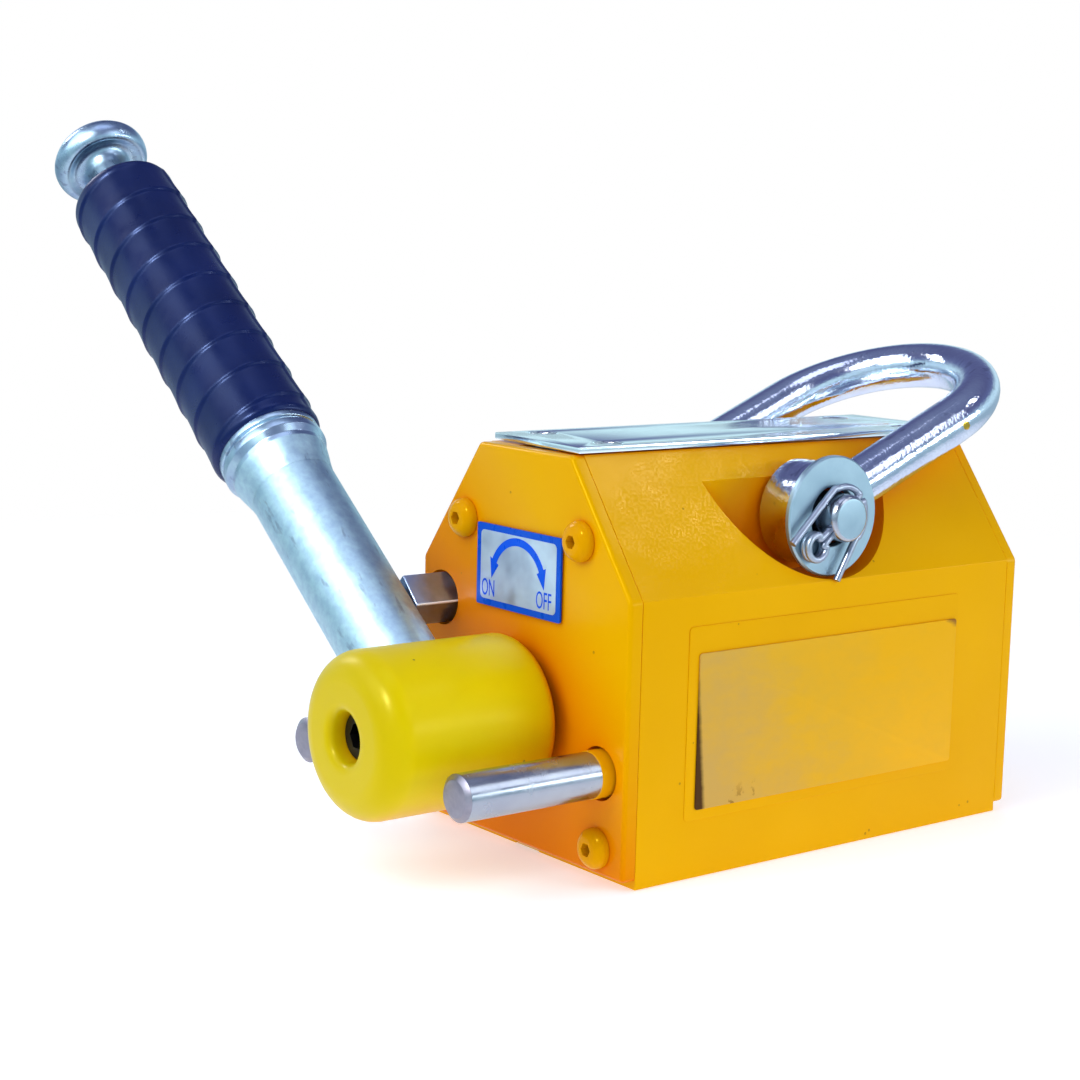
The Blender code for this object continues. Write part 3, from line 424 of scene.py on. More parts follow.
# near-white rough steel: a painted highlight for the lock stud's right edge
STUD_EDGE_HIGHLIGHT = steel_look("stud_edge_highlight", (0.95, 0.95, 0.93), (0.85, 0.85, 0.84), (0.75, 0.9))
DARK_STEEL = steel_look("blackened_steel", (0.05, 0.05, 0.055), (0.02, 0.02, 0.025), (0.3, 0.5))
BRASS = steel_look("brass", (0.80, 0.58, 0.24), (0.62, 0.42, 0.14), (0.2, 0.4))
ALUMINIUM = steel_look("aluminium", (0.80, 0.81, 0.83), (0.64, 0.65, 0.68), (0.25, 0.45))
NICKEL = steel_look("nickel", (0.70, 0.67, 0.62), (0.55, 0.52, 0.48), (0.12, 0.3))
RUBBER = rubber_look()
LEMON = lemon_look()
LABEL_BLUE = film_look("label_blue", (0.0, 0.08, 0.62), (0.0, 0.065, 0.54))
LABEL_INK = film_look("label_ink", (0.0, 0.095, 0.80), (0.0, 0.07, 0.70))
LABEL_SILVER = label_silver_look()
WORN_PLATE = worn_plate_look()


# ---- shapes

def finish_piece(ob, look, body, nodes):
    """Dress a piece, and say which body it rides on and which CAD nodes it replaces."""
    ob.data.materials.clear()
    ob.data.materials.append(look)
    ob.data.update()
    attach(ob, body)
    if nodes:
        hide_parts(*nodes)


def new_object(name, data):
    ob = bpy.data.objects.new(name, data)
    bpy.context.scene.collection.objects.link(ob)
    return ob


def object_from(name, bm, matrix=None):
    mesh = bpy.data.meshes.new(name)
    bmesh.ops.recalc_face_normals(bm, faces=bm.faces)
    bm.to_mesh(mesh)
    bm.free()
    ob = new_object(name, mesh)
    if matrix is not None:
        ob.matrix_world = matrix
    return ob


def smooth(ob, angle=35.0):
    ob.data.shade_smooth()
    ob.data.set_sharp_from_angle(angle=math.radians(angle))


def evaluated_mesh(ob):
    """A new mesh of an object with its modifiers, or of a curve."""
    bpy.context.view_layer.update()
    deps = bpy.context.evaluated_depsgraph_get()
    return bpy.data.meshes.new_from_object(ob.evaluated_get(deps))


def bake(ob):
    """Apply an object's modifiers."""
    mesh = evaluated_mesh(ob)
    ob.modifiers.clear()
    ob.data = mesh


def meshed(name, curve, matrix):
    """A mesh object made of a curve."""
    source = new_object(name, curve)
    mesh = evaluated_mesh(source)
    bpy.data.objects.remove(source, do_unlink=True)
    bm = bmesh.new()
    bm.from_mesh(mesh)
    bmesh.ops.remove_doubles(bm, verts=bm.verts, dist=0.002 * MM)
    return object_from(name, bm, matrix)


def arc(centre, radius, start, end, steps):
    points = []
    for i in range(steps + 1):
        a = math.radians(start + (end - start) * i / steps)
        points.append((centre[0] + radius * math.cos(a), centre[1] + radius * math.sin(a)))
    return points


def extruded(name, outline, thickness, matrix=None):
    """A flat outline in the XY plane, raised from z = 0 to its thickness."""
    bm = bmesh.new()
    face = bm.faces.new([bm.verts.new((x, y, 0.0)) for x, y in outline])
    raised = bmesh.ops.extrude_face_region(bm, geom=[face])
    top = [item for item in raised["geom"] if isinstance(item, bmesh.types.BMVert)]
    bmesh.ops.translate(bm, vec=(0, 0, thickness), verts=top)
    return object_from(name, bm, matrix)


def turned(name, profile, sides=64, matrix=None, closed=False):
    """(radius, height) points turned about +Z."""
    bm = bmesh.new()
    rings = []
    for r, h in profile:
        if r == 0:
            rings.append([bm.verts.new((0, 0, h))])
            continue
        ring = []
        for i in range(sides):
            a = 2 * math.pi * i / sides
            ring.append(bm.verts.new((r * math.cos(a), r * math.sin(a), h)))
        rings.append(ring)
    pairs = list(zip(rings, rings[1:]))
    if closed:
        pairs.append((rings[-1], rings[0]))
    for a, b in pairs:
        for i in range(sides):
            j = (i + 1) % sides
            corners = [a[i % len(a)], a[j % len(a)], b[j % len(b)], b[i % len(b)]]
            unique = list(dict.fromkeys(corners))
            if len(unique) > 2:
                bm.faces.new(unique)
    ob = object_from(name, bm, matrix)
    smooth(ob)
    return ob


def rounded(profile, radius, steps=4):
    """Round every corner between the two ends of a profile."""
    out = [profile[0]]
    for before, corner, after in zip(profile, profile[1:], profile[2:]):
        c = Vector(corner)
        to_a = Vector(before) - c
        to_b = Vector(after) - c
        reach = min(radius, to_a.length * 0.49, to_b.length * 0.49)
        start = c + to_a.normalized() * reach
        end = c + to_b.normalized() * reach
        for i in range(steps + 1):
            t = i / steps
            point = start * (1 - t) ** 2 + c * 2 * t * (1 - t) + end * t ** 2
            out.append((point.x, point.y))
    out.append(profile[-1])
    return out


def cut(ob, cutter, operation="DIFFERENCE"):
    """Apply a Boolean at once and delete the other object."""
    mod = ob.modifiers.new("cut", "BOOLEAN")
    mod.operation = operation
    mod.solver = "EXACT"
    mod.object = cutter
    bake(ob)
    bpy.data.objects.remove(cutter, do_unlink=True)


def drill(ob, radius, depth, matrix, sides=48):
    cutter = turned("drill", [(0, depth), (radius, depth), (radius, 0), (0, 0)], sides, matrix)
    cut(ob, cutter)


def bevel(ob, width, segments=3, seam=None):
    """Round the edges sharper than 30 degrees; edges near the seam's y are hardly broken."""
    bm = bmesh.new()
    bm.from_mesh(ob.data)
    weights = bm.edges.layers.float.new("bevel_weight_edge")
    for edge in bm.edges:
        if len(edge.link_faces) < 2 or edge.calc_face_angle() < math.radians(30):
            continue
        ends = [(ob.matrix_world @ v.co).y for v in edge.verts]
        near = seam is not None and max(abs(abs(y) - seam) for y in ends) < 0.1 * MM
        edge[weights] = 0.2 if near else 1.0
    bm.to_mesh(ob.data)
    bm.free()
    mod = ob.modifiers.new("bevel", "BEVEL")
    mod.width = width
    mod.segments = segments
    mod.limit_method = "WEIGHT"
    bake(ob)
    smooth(ob, 28.0)


def even_shading(ob):
    """Smooth the rounded edges and keep the flats flat."""
    smooth(ob, 28)
    mod = ob.modifiers.new("flats", "WEIGHTED_NORMAL")
    mod.keep_sharp = True
    bake(ob)


def paint_where(ob, look, test):
    """Give another material to the faces that pass a test."""
    ob.data.materials.append(look)
    for face in ob.data.polygons:
        if test(face):
            face.material_index = len(ob.data.materials) - 1


def paint_facing(ob, look, facing, limit):
    """Give another material to the faces that point one way."""
    turn = ob.matrix_world.to_3x3()
    paint_where(ob, look, lambda face: (turn @ face.normal).dot(facing) > limit)


def wire(name, points, radius, matrix=None, resolution=6, cyclic=False):
    curve = bpy.data.curves.new(name, "CURVE")
    curve.dimensions = "3D"
    curve.bevel_depth = radius
    curve.bevel_resolution = resolution
    curve.use_fill_caps = True
    spline = curve.splines.new("POLY")
    spline.points.add(len(points) - 1)
    for point, co in zip(spline.points, points):
        point.co = (*co, 1.0)
    spline.use_cyclic_u = cyclic
    ob = meshed(name, curve, matrix)
    smooth(ob, 40)
    return ob


def at(x, y, z, turn=None):
    place = Matrix.Translation((x, y, z))
    return place @ turn if turn is not None else place


# ---- body

def middle(node):
    low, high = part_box(node)
    return (low + high) / 2


def body_outline(foot):
    return [(-HALF_W, foot), (HALF_W, foot), (HALF_W, SHOULDER_Z), (TOP_HALF_W, BODY_H),
            (-TOP_HALF_W, BODY_H), (-HALF_W, SHOULDER_Z)]


def pole_outline(side):
    """One half of the body's section, with the bore and the slot above it."""
    top = math.degrees(math.acos(SLOT_X / BORE_R))
    low = -math.degrees(math.acos(STRIP_X / BORE_R))
    points = [(STRIP_X, 0.0), (HALF_W, 0.0), (HALF_W, SHOULDER_Z), (TOP_HALF_W, BODY_H),
              (SLOT_X, BODY_H)] + arc((0.0, AXIS_Z), BORE_R, top, low, 32)
    return [(side * x, z) for x, z in points]


def pole_block(node, side):
    to_cover = 0.26 * MM
    reach = BLOCK_HIGH.y + to_cover
    ob = extruded(node + "_casting", pole_outline(side), 2 * reach, at(0, reach, 0, FRONT))
    facing = RIGHT if side > 0 else LEFT
    bevel(ob, 0.45 * MM, 3, reach)
    drill(ob, POCKET_R, 30 * MM, at(side * POCKET_FLOOR_X, 0, BODY_H, facing), 96)
    drill(ob, PIN_BORE_R, 40 * MM, at(0, 0, PIN_AXIS.z, facing))
    spigots = [("stop_pin_off" if side > 0 else "stop_pin_on", 2.7 * MM)]
    if side < 0:
        spigots.append(("lock_stud", 2.9 * MM))
    for pin, radius in spigots:
        centre = middle(pin)
        drill(ob, radius, 14 * MM, at(centre.x, BLOCK_LOW.y + SPIGOT_DEPTH, centre.z, FRONT))
    even_shading(ob)
    finish_piece(ob, PAINT, "housing", [node])


def end_cover(node, end):
    """The end is -1 in front, where the pins pass through the cover, and 1 at the rear."""
    low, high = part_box(node)
    ob = extruded(node + "_plate", body_outline(COVER_LOW.z), high.y - low.y,
                  at(0, high.y, 0, FRONT))
    bevel(ob, 0.75 * MM, 4, min(abs(low.y), abs(high.y)))
    deep = 8 * MM
    start = high.y + 2 * MM
    if end < 0:
        stop_hole = 4.55 * MM
        lock_hole = 4.95 * MM
        for pin, radius in (("stop_pin_on", stop_hole), ("stop_pin_off", stop_hole),
                            ("lock_stud", lock_hole)):
            centre = middle(pin)
            drill(ob, radius, deep, at(centre.x, start, centre.z, FRONT))
    bush_hole = 9.0 * MM
    drill(ob, bush_hole, deep, at(0, start, AXIS_Z, FRONT), 64)
    even_shading(ob)
    finish_piece(ob, COVER_PAINT if end < 0 else PAINT, "housing", [node])


def cover_screw(node, end):
    """Button head under thick paint, its hexagon socket still open, with painted shade on the socket's floor."""
    low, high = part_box(node)
    centre = (low + high) / 2
    paint = 0.05 * MM
    seat = end * (COVER_FACE + paint)
    place = at(centre.x, seat, centre.z, FRONT if end < 0 else REAR)
    tall = low.y if end < 0 else high.y
    h = abs(tall - seat)
    r = (high.x - low.x) / 2 - 0.2 * MM
    shank = 2.0 * MM
    foot = -8 * MM
    dome = [(0, h), (1.7 * MM, h), (2.4 * MM, h - 0.2 * MM), (3.0 * MM, h - 0.7 * MM),
            (3.4 * MM, h - 1.3 * MM), (r, 0.3 * MM), (r, 0), (shank, 0), (shank, foot), (0, foot)]
    ob = turned(node + "_head", rounded(dome, 0.3 * MM, 2), 48, place)
    socket = [(0, 3 * MM), (1.25 * MM, 3 * MM), (1.1 * MM, 0.2 * MM), (0, -0.2 * MM)]
    cut(ob, turned("socket", socket, 6, place))
    smooth(ob, 40)
    finish_piece(ob, SCREW_PAINT, "housing", [node])
    # painted shade: a dark disc on the socket's floor
    painted_shade = [(0, 0.62 * MM), (1.05 * MM, 0.7 * MM), (1.05 * MM, 0.3 * MM), (0, 0.3 * MM)]
    dark = turned(node + "_socket_painted_shade", painted_shade, 6, place)
    finish_piece(dark, DARK_STEEL, "housing", ())


def plate_screw(node, seat):
    """A countersunk head, flush with the plate, with a hexagon socket."""
    centre = middle(node)
    place = at(centre.x, centre.y, seat)
    head = [(0, 0), (2.2 * MM, 0), (2.35 * MM, -0.15 * MM), (2.35 * MM, -0.9 * MM),
            (1.4 * MM, -0.9 * MM), (1.4 * MM, -5 * MM), (0, -5 * MM)]
    screw = turned(node + "_head", head, 32, place)
    socket = [(0, MM), (1.1 * MM, MM), (1.1 * MM, -0.5 * MM), (0, -0.6 * MM)]
    cut(screw, turned("socket", socket, 6, place))
    finish_piece(screw, BRIGHT_STEEL, "housing", [node])


def top_plate():
    """The plate's front edge isn't square, as in the photo."""
    low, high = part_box("top_plate")
    skew = 2.6 * MM
    screws = [f"plate_screw_{i}" for i in range(1, 5)]
    outline = [(low.x, low.y + skew), (high.x, low.y), (high.x, high.y), (low.x, high.y)]
    ob = extruded("top_plate_sheet", outline, high.z - low.z, at(0, 0, low.z))
    for node in screws:
        centre = middle(node)
        drill(ob, 2.7 * MM, 6 * MM, at(centre.x, centre.y, BODY_H - MM))
    bevel(ob, 0.2 * MM, 2)
    finish_piece(ob, PLATE_STEEL, "housing", ["top_plate"])
    for node in screws:
        plate_screw(node, high.z)


def stop_pin(node):
    """A bare bar with a collar of body paint round its foot."""
    low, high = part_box(node)
    centre = (low + high) / 2
    r = (high.x - low.x) / 2
    tip = -low.y
    paint_line = COVER_FACE + 2.3 * MM
    thick = 0.15 * MM
    spigot = 2.4 * MM
    profile = [(0, tip), (r - 0.9 * MM, tip), (r, tip - 0.7 * MM), (r, paint_line),
               (r + thick, paint_line - thick), (r + thick, PIN_SEAT),
               (spigot, PIN_SEAT), (spigot, SPIGOT_END), (0, SPIGOT_END)]
    ob = turned(node + "_bar", rounded(profile, 0.05 * MM, 2), 64, at(centre.x, 0, centre.z, FRONT))
    finish_piece(ob, BRIGHT_STEEL, "housing", [node])
    paint_facing(ob, SAWN_STEEL, Vector((0, -1, 0)), 0.5)
    paint_where(ob, SCREW_PAINT, lambda face: -(ob.matrix_world @ face.center).y < paint_line)


def lock_stud():
    """A square bar on edge, bored for the lock pin, with a painted highlight along its right-hand edge."""
    low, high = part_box("lock_stud")
    centre = (low + high) / 2
    square = arc((0, 0), 4.7 * MM, 0, 270, 3)
    ob = extruded("lock_stud_bar", square, -low.y - PIN_SEAT,
                  at(centre.x, -PIN_SEAT, centre.z, FRONT))
    bevel(ob, 0.3 * MM, 3)
    floor = PIN_SEAT + 1.4 * MM
    drill(ob, 2.15 * MM, 20 * MM, at(centre.x, -floor, centre.z, FRONT))
    smooth(ob, 25)
    finish_piece(ob, STUD_STEEL, "housing", ["lock_stud"])
    # painted highlight: the rounded edge facing right is made near white
    paint_facing(ob, STUD_EDGE_HIGHLIGHT, Vector((1, 0, 0)), 0.8)


# ---- label

def flat_piece(name, outline, y, look):
    """A thin shape on the label, its outline in x and z."""
    ob = extruded(name, outline, 0.04 * MM, at(0, y, 0, FRONT))
    finish_piece(ob, look, "housing", ())


def rounded_rectangle(x0, z0, x1, z1, r, steps=6):
    return (arc((x1 - r, z1 - r), r, 0, 90, steps) + arc((x0 + r, z1 - r), r, 90, 180, steps)
            + arc((x0 + r, z0 + r), r, 180, 270, steps) + arc((x1 - r, z0 + r), r, 270, 360, steps))


def arrow_outline(centre_z, radius, width):
    """An arc over the middle with a head at each end."""
    half = width / 2
    base = 27  # degrees above the horizontal
    tip = 2
    outer = arc((0, centre_z), radius + half, 180 - base, base, 32)
    inner = arc((0, centre_z), radius - half, base, 180 - base, 32)
    right = []
    for angle, r in ((base, radius + width), (tip, radius), (base, radius - width)):
        a = math.radians(angle)
        right.append((r * math.cos(a), centre_z + r * math.sin(a)))
    left = [(-x, z) for x, z in reversed(right)]
    return outer + right + inner + left


def lettering(name, text, x, z, size, y):
    """Raised narrow letters on the label, centred on x."""
    curve = bpy.data.curves.new(name, "FONT")
    curve.body = text
    curve.size = size
    curve.align_x = "CENTER"
    curve.extrude = 0.02 * MM
    narrow = Matrix.Diagonal((0.7, 1.2, 1, 1))
    ob = meshed(name, curve, at(x, y, z, FRONT) @ narrow)
    finish_piece(ob, LABEL_INK, "housing", ())


def mode_label():
    low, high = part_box("mode_label")
    base = extruded("mode_label_film", rounded_rectangle(low.x, low.z, high.x, high.z, 0.4 * MM),
                    high.y - low.y, at(0, high.y, 0, FRONT))
    finish_piece(base, LABEL_BLUE, "housing", ["mode_label"])
    edge = 1.15 * MM
    layer = 0.05 * MM
    face = low.y - 0.01 * MM
    flat_piece("mode_label_silver",
               rounded_rectangle(low.x + edge, low.z + edge, high.x - edge, high.z - edge, 0.9 * MM),
               face, LABEL_SILVER)
    face -= layer
    arrow = arrow_outline(low.z + 4.7 * MM, 7.4 * MM, 1.35 * MM)
    flat_piece("mode_label_arrow", arrow, face, LABEL_INK)
    line = low.z + 1.75 * MM
    tall = 3.5 * MM
    lettering("mode_label_on", "ON", -8.3 * MM, line, tall, face)
    lettering("mode_label_off", "OFF", 7.4 * MM, line, tall, face)


def rating_plates():
    """A painted-over backing on each side, and the worn plate on it."""
    for node, side in (("rating_plate_right", 1), ("rating_plate_left", -1)):
        low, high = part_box(node)
        turn = Matrix(((0, 0, side, 0), (1, 0, 0, 0), (0, 1, 0, 0), (0, 0, 0, 1)))
        outline = rounded_rectangle(low.y - 2.2 * MM, low.z - 1.8 * MM, high.y + 0.6 * MM,
                                    high.z + 4.6 * MM, 0.8 * MM)
        seat = side * (HALF_W + 0.01 * MM)
        backing = extruded(node + "_backing", outline, 0.12 * MM, at(seat, 0, 0, turn))
        bevel(backing, 0.05 * MM, 1)
        finish_piece(backing, PAINT, "housing", ())
        outline = rounded_rectangle(low.y, low.z, high.y, high.z, 0.5 * MM)
        seat = side * (HALF_W + 0.15 * MM)
        plate = extruded(node + "_face", outline, 0.3 * MM, at(seat, 0, 0, turn))
        bevel(plate, 0.08 * MM, 2)
        finish_piece(plate, WORN_PLATE, "housing", [node])


# ---- lever

def hub_cap():
    """A hollow cap, well rounded in front, with a soft-edged hole for the screw."""
    low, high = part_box("hub_cap")
    r = (high.x - low.x) / 2
    front = -low.y
    back = -high.y
    hole = 4.3 * MM
    hollow = 12.0 * MM
    floor = 77 * MM
    nose = 4.9 * MM
    profile = [(hole, floor), (hole, front - 1.3 * MM), (4.5 * MM, front - 0.75 * MM),
               (4.85 * MM, front - 0.3 * MM), (5.4 * MM, front - 0.06 * MM), (6.0 * MM, front),
               (7.0 * MM, front), (r - 5.0 * MM, front)]
    profile += arc((r - nose, front - nose), nose, 88, 2, 10)
    profile += [(r, front - 5.2 * MM), (r - 0.05 * MM, back + 4 * MM)]
    profile += arc((r - 2.6 * MM, back + 2.6 * MM), 2.55 * MM, 0, -90, 6)
    profile += [(hollow + 0.1 * MM, back), (hollow, back + MM), (hollow, floor - 0.1 * MM)]
    ob = turned("hub_cap_moulding", profile, 112, at(0, 0, AXIS_Z, FRONT), closed=True)
    smooth(ob, 60)
    finish_piece(ob, LEMON, "lever", ["hub_cap"])


def hub_screw():
    low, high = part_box("hub_screw")
    top = -low.y
    r = (high.x - low.x) / 2
    seat = top - 3.6 * MM
    shank = 2.4 * MM
    profile = [(0, top), (r - 0.5 * MM, top), (r, top - 0.5 * MM), (r, seat),
               (shank, seat), (shank, -high.y), (0, -high.y)]
    ob = turned("hub_screw_cap_head", rounded(profile, 0.15 * MM, 2), 48, at(0, 0, AXIS_Z, FRONT))
    cut(ob, turned("socket", [(0, MM), (2.3 * MM, MM), (2.3 * MM, -2.2 * MM), (0, -2.8 * MM)], 6,
                   at(0, -top, AXIS_Z, FRONT)))
    smooth(ob, 30)
    finish_piece(ob, DARK_STEEL, "lever", ["hub_screw"])


def handle_tube():
    """The lever's tube, with the lock pin's hole in its back."""
    inner = 5.5 * MM
    foot = 8 * MM
    profile = [(TUBE_R, TUBE_TOP), (TUBE_R, foot), (inner, foot), (inner, TUBE_TOP)]
    ob = turned("handle_tube_body", profile, 80, LEVER, closed=True)
    lock = middle("lock_stud")
    drill(ob, 2.3 * MM, 5 * MM, at(lock.x, HUB_AXIS.y + TUBE_R - 3.6 * MM, lock.z, REAR))
    smooth(ob, 30)
    finish_piece(ob, TUBE_STEEL, "lever", ["handle_tube"])


def handle_collar():
    """A flare from the tube up to a shoulder with turned grooves."""
    top = GRIP_FOOT + 0.4 * MM
    rim = 9.95 * MM
    groove = 9.3 * MM
    profile = [(8.1 * MM, top), (rim - 0.1 * MM, top), (rim - 0.1 * MM, 66.2 * MM),
               (groove, 66.0 * MM), (groove, 65.5 * MM), (rim, 65.3 * MM), (rim, 63.9 * MM),
               (9.2 * MM, 62.6 * MM), (9.15 * MM, 61.6 * MM), (8.8 * MM, 60.0 * MM),
               (8.45 * MM, 58.6 * MM), (8.2 * MM, 57.4 * MM), (8.02 * MM, 56.2 * MM)]
    ob = turned("handle_collar_turned", rounded(profile, 0.12 * MM, 2), 96, LEVER)
    smooth(ob, 50)
    finish_piece(ob, KNOB_STEEL, "lever", ["handle_collar"])
    paint_where(ob, TUBE_STEEL, lambda face: face.center.z < COLLAR_FLARE)


def grip_radius(h, turn):
    """A slight taper, a spiral of overlapping lips, a moulding seam and rounded ends."""
    share = (h - GRIP_FOOT) / (GRIP_TOP - GRIP_FOOT)
    base = (10.6 - 0.1 * share) * MM
    lead = ((h - GRIP_FOOT + 0.8 * MM) / GRIP_PITCH - turn / (2 * math.pi)) % 1.0
    lip = GRIP_LIP * (1.0 - lead) ** 2.2
    step = min(1.0, lead / 0.07)
    end = min(h - GRIP_FOOT, GRIP_TOP - h)
    fade = min(1.0, end / (3 * MM))
    radius = base + (lip * step - 0.16 * MM) * fade
    from_seam = math.remainder(turn - GRIP_SEAM, 2 * math.pi)
    seam = 0.3 * MM * math.exp(-(from_seam / 0.04) ** 2)
    edge = 1.6 * MM
    if end < edge:
        radius -= edge - math.sqrt(max(0.0, edge ** 2 - (edge - end) ** 2))
    return radius + seam * fade


def grip():
    """The sleeve: its moulded outside, then its end, its bore and its foot."""
    around = 120
    levels = 260
    neck_hole = 4.4 * MM
    bore = 8.3 * MM
    bm = bmesh.new()

    def ring(h, radius=None):
        verts = []
        for i in range(around):
            a = 2 * math.pi * i / around
            r = radius or grip_radius(h, a)
            verts.append(bm.verts.new((r * math.cos(a), r * math.sin(a), h)))
        return verts

    rings = [ring(GRIP_FOOT + (GRIP_TOP - GRIP_FOOT) * k / levels) for k in range(levels + 1)]
    rings += [ring(GRIP_TOP, neck_hole), ring(GRIP_BORE_END, neck_hole),
              ring(GRIP_BORE_END, bore), ring(GRIP_FOOT, bore), rings[0]]
    for a, b in zip(rings, rings[1:]):
        for i in range(around):
            j = (i + 1) % around
            bm.faces.new((a[i], a[j], b[j], b[i]))
    ob = object_from("grip_sleeve", bm, LEVER)
    smooth(ob, 50)
    finish_piece(ob, RUBBER, "lever", ["grip"])


def button_knob():
    """A domed knob, hollow behind, on a neck whose flange stays inside the tube."""
    neck = 4.0 * MM
    flange = 4.9 * MM
    flange_top = 131.7 * MM
    foot = 129.4 * MM
    end = BUTTON_END
    profile = [(0, end), (3.5 * MM, end - 0.1 * MM), (6.5 * MM, end - 0.7 * MM),
               (8.6 * MM, end - 1.8 * MM), (9.6 * MM, end - 3.4 * MM), (9.7 * MM, end - 4.6 * MM),
               (9.4 * MM, end - 5.9 * MM), (8.7 * MM, end - 6.9 * MM), (7.9 * MM, end - 7.2 * MM),
               (7.1 * MM, end - 6.7 * MM), (6.3 * MM, end - 6.3 * MM), (5.4 * MM, end - 6.5 * MM),
               (4.6 * MM, end - 7.3 * MM), (4.1 * MM, end - 8.8 * MM), (neck, end - 10.5 * MM),
               (neck, flange_top), (flange, flange_top), (flange, foot), (0, foot)]
    ob = turned("button_knob_turned", rounded(profile, 0.6 * MM, 3), 96, LEVER)
    smooth(ob, 60)
    finish_piece(ob, KNOB_STEEL, "button", ["button_knob"])


# ---- shackle

def shackle():
    """A round bar bent into a bow, a disc forged on each end, and the pin's hole."""
    foot = 4 * MM
    points = [(LEG_X, 0, foot), (LEG_X, 0, LEG_L * 0.5)]
    points += [(x, 0, z) for x, z in arc((0, LEG_L), LEG_X, 0, 180, 64)]
    points += [(-LEG_X, 0, LEG_L * 0.5), (-LEG_X, 0, foot)]
    ob = wire("shackle_bow", points, BAR_R, SHACKLE, 12)
    thick = 2 * BAR_R - 0.1 * MM
    edge = 0.7 * MM
    profile = [(0, thick), (EYE_R - edge, thick), (EYE_R, thick - edge), (EYE_R, edge),
               (EYE_R - edge, 0), (0, 0)]
    for side in (-1, 1):
        place = SHACKLE @ at(side * LEG_X - thick / 2, 0, 0, RIGHT)
        cut(ob, turned("eye", profile, 72, place), "UNION")
    reach = 32 * MM
    drill(ob, 4.95 * MM, 2 * reach, SHACKLE @ at(-reach, 0, 0, RIGHT))
    smooth(ob, 32)
    finish_piece(ob, FORGED_STEEL, "shackle_bow", ["shackle"])


def shackle_pin():
    low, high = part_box("shackle_pin")
    r = 4.15 * MM
    head_r = 6.2 * MM
    end = high.x
    head = low.x
    profile = [(0, end), (r - 0.8 * MM, end), (r - 0.25 * MM, end - 0.3 * MM),
               (r, end - 0.9 * MM), (r, head + 3 * MM), (head_r, head + 3 * MM),
               (head_r, head + 0.8 * MM), (head_r - 0.8 * MM, head), (0, head)]
    ob = turned("shackle_pin_bar", rounded(profile, 0.15 * MM, 2), 64, at(0, 0, PIN_AXIS.z, RIGHT))
    finish_piece(ob, BRIGHT_STEEL, "housing", ["shackle_pin"])
    paint_facing(ob, WASHER_STEEL, Vector((1, 0, 0)), 0.9)


def washer():
    low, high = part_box("shackle_washer")
    centre = (low + high) / 2
    outer = (high.y - low.y) / 2
    inner = 5.3 * MM
    edge = 0.3 * MM
    thick = high.x - low.x
    profile = [(outer, thick - edge), (outer, edge), (outer - edge, 0), (inner, 0),
               (inner, thick - 0.1 * MM), (inner + 0.1 * MM, thick), (outer - edge, thick)]
    ob = turned("shackle_washer_disc", profile, 96, at(low.x, centre.y, centre.z, RIGHT), closed=True)
    smooth(ob, 40)
    finish_piece(ob, WASHER_STEEL, "housing", ["shackle_washer"])


# The cotter pin lies in a plane of constant x, in front of the washer
COTTER_TILT = math.radians(38)
COTTER_X = 29.6 * MM
COTTER_WIRE_R = 0.62 * MM
LANE = 0.62 * MM  # from its middle line to each leg
BEND = 5.35 * MM
UPPER_BEND = (126, 108, 90, 74, 60)
LOWER_BEND = (14, -4, -22, -40, -56)
EYE_LOOP_R = 2.15 * MM
EYE_LOOP_CENTRE = -7.7 * MM


def cotter_point(along, across):
    """A point by its places along and across the pin's middle line."""
    c = math.cos(COTTER_TILT)
    s = math.sin(COTTER_TILT)
    return Vector((COTTER_X, along * c - across * s, PIN_AXIS.z + along * s + across * c))


def bend_point(angle):
    """A point of a leg where it is bent round the cross pin."""
    a = math.radians(angle)
    return Vector((COTTER_X - 0.2 * MM, BEND * math.cos(a), PIN_AXIS.z + BEND * math.sin(a)))


def smooth_path(points, per_span=6):
    """A Catmull-Rom curve through the points."""
    padded = [points[0] * 2 - points[1]] + points + [points[-1] * 2 - points[-2]]
    out = []
    for a, b, c, d in zip(padded, padded[1:], padded[2:], padded[3:]):
        for i in range(per_span):
            t = i / per_span
            out.append(0.5 * (2 * b + (c - a) * t + (2 * a - 5 * b + 4 * c - d) * t ** 2
                              + (3 * b - a - 3 * c + d) * t ** 3))
    out.append(points[-1])
    return out


def eye_loop_point(a):
    return cotter_point(EYE_LOOP_CENTRE + EYE_LOOP_R * math.cos(a), EYE_LOOP_R * math.sin(a))


def cotter_pin():
    """One wire: a long leg, the coiled eye and a short leg, with a second turn behind the eye."""
    opening = math.asin(LANE / EYE_LOOP_R)
    steps = 14
    exit_at = 4.3 * MM
    spread_at = 4.95 * MM
    spread = 1.35 * MM
    points = [Vector((COTTER_X - 0.1 * MM, -11.9 * MM, 55.0 * MM))]
    points += [bend_point(a) for a in UPPER_BEND]
    points += [cotter_point(spread_at, spread), cotter_point(exit_at, LANE)]
    for i in range(steps + 1):
        points.append(eye_loop_point(opening + (2 * math.pi - 2 * opening) * i / steps))
    points += [cotter_point(exit_at, -LANE), cotter_point(spread_at, -spread)]
    points += [bend_point(a) for a in LOWER_BEND]
    points.append(Vector((COTTER_X - 0.1 * MM, -1.0 * MM, 47.9 * MM)))
    ob = wire("cotter_pin_wire", smooth_path(points), COTTER_WIRE_R, None, 5)
    finish_piece(ob, WIRE_STEEL, "housing", ["cotter_pin"])
    back = Vector((-1.0 * MM, 0, 0))
    turn = [eye_loop_point(math.radians(15 * i)) + back for i in range(24)]
    coil = wire("cotter_pin_coil", turn, COTTER_WIRE_R, None, 5, cyclic=True)
    finish_piece(coil, WIRE_STEEL, "housing", ())


# ---- nodes that keep their CAD shape

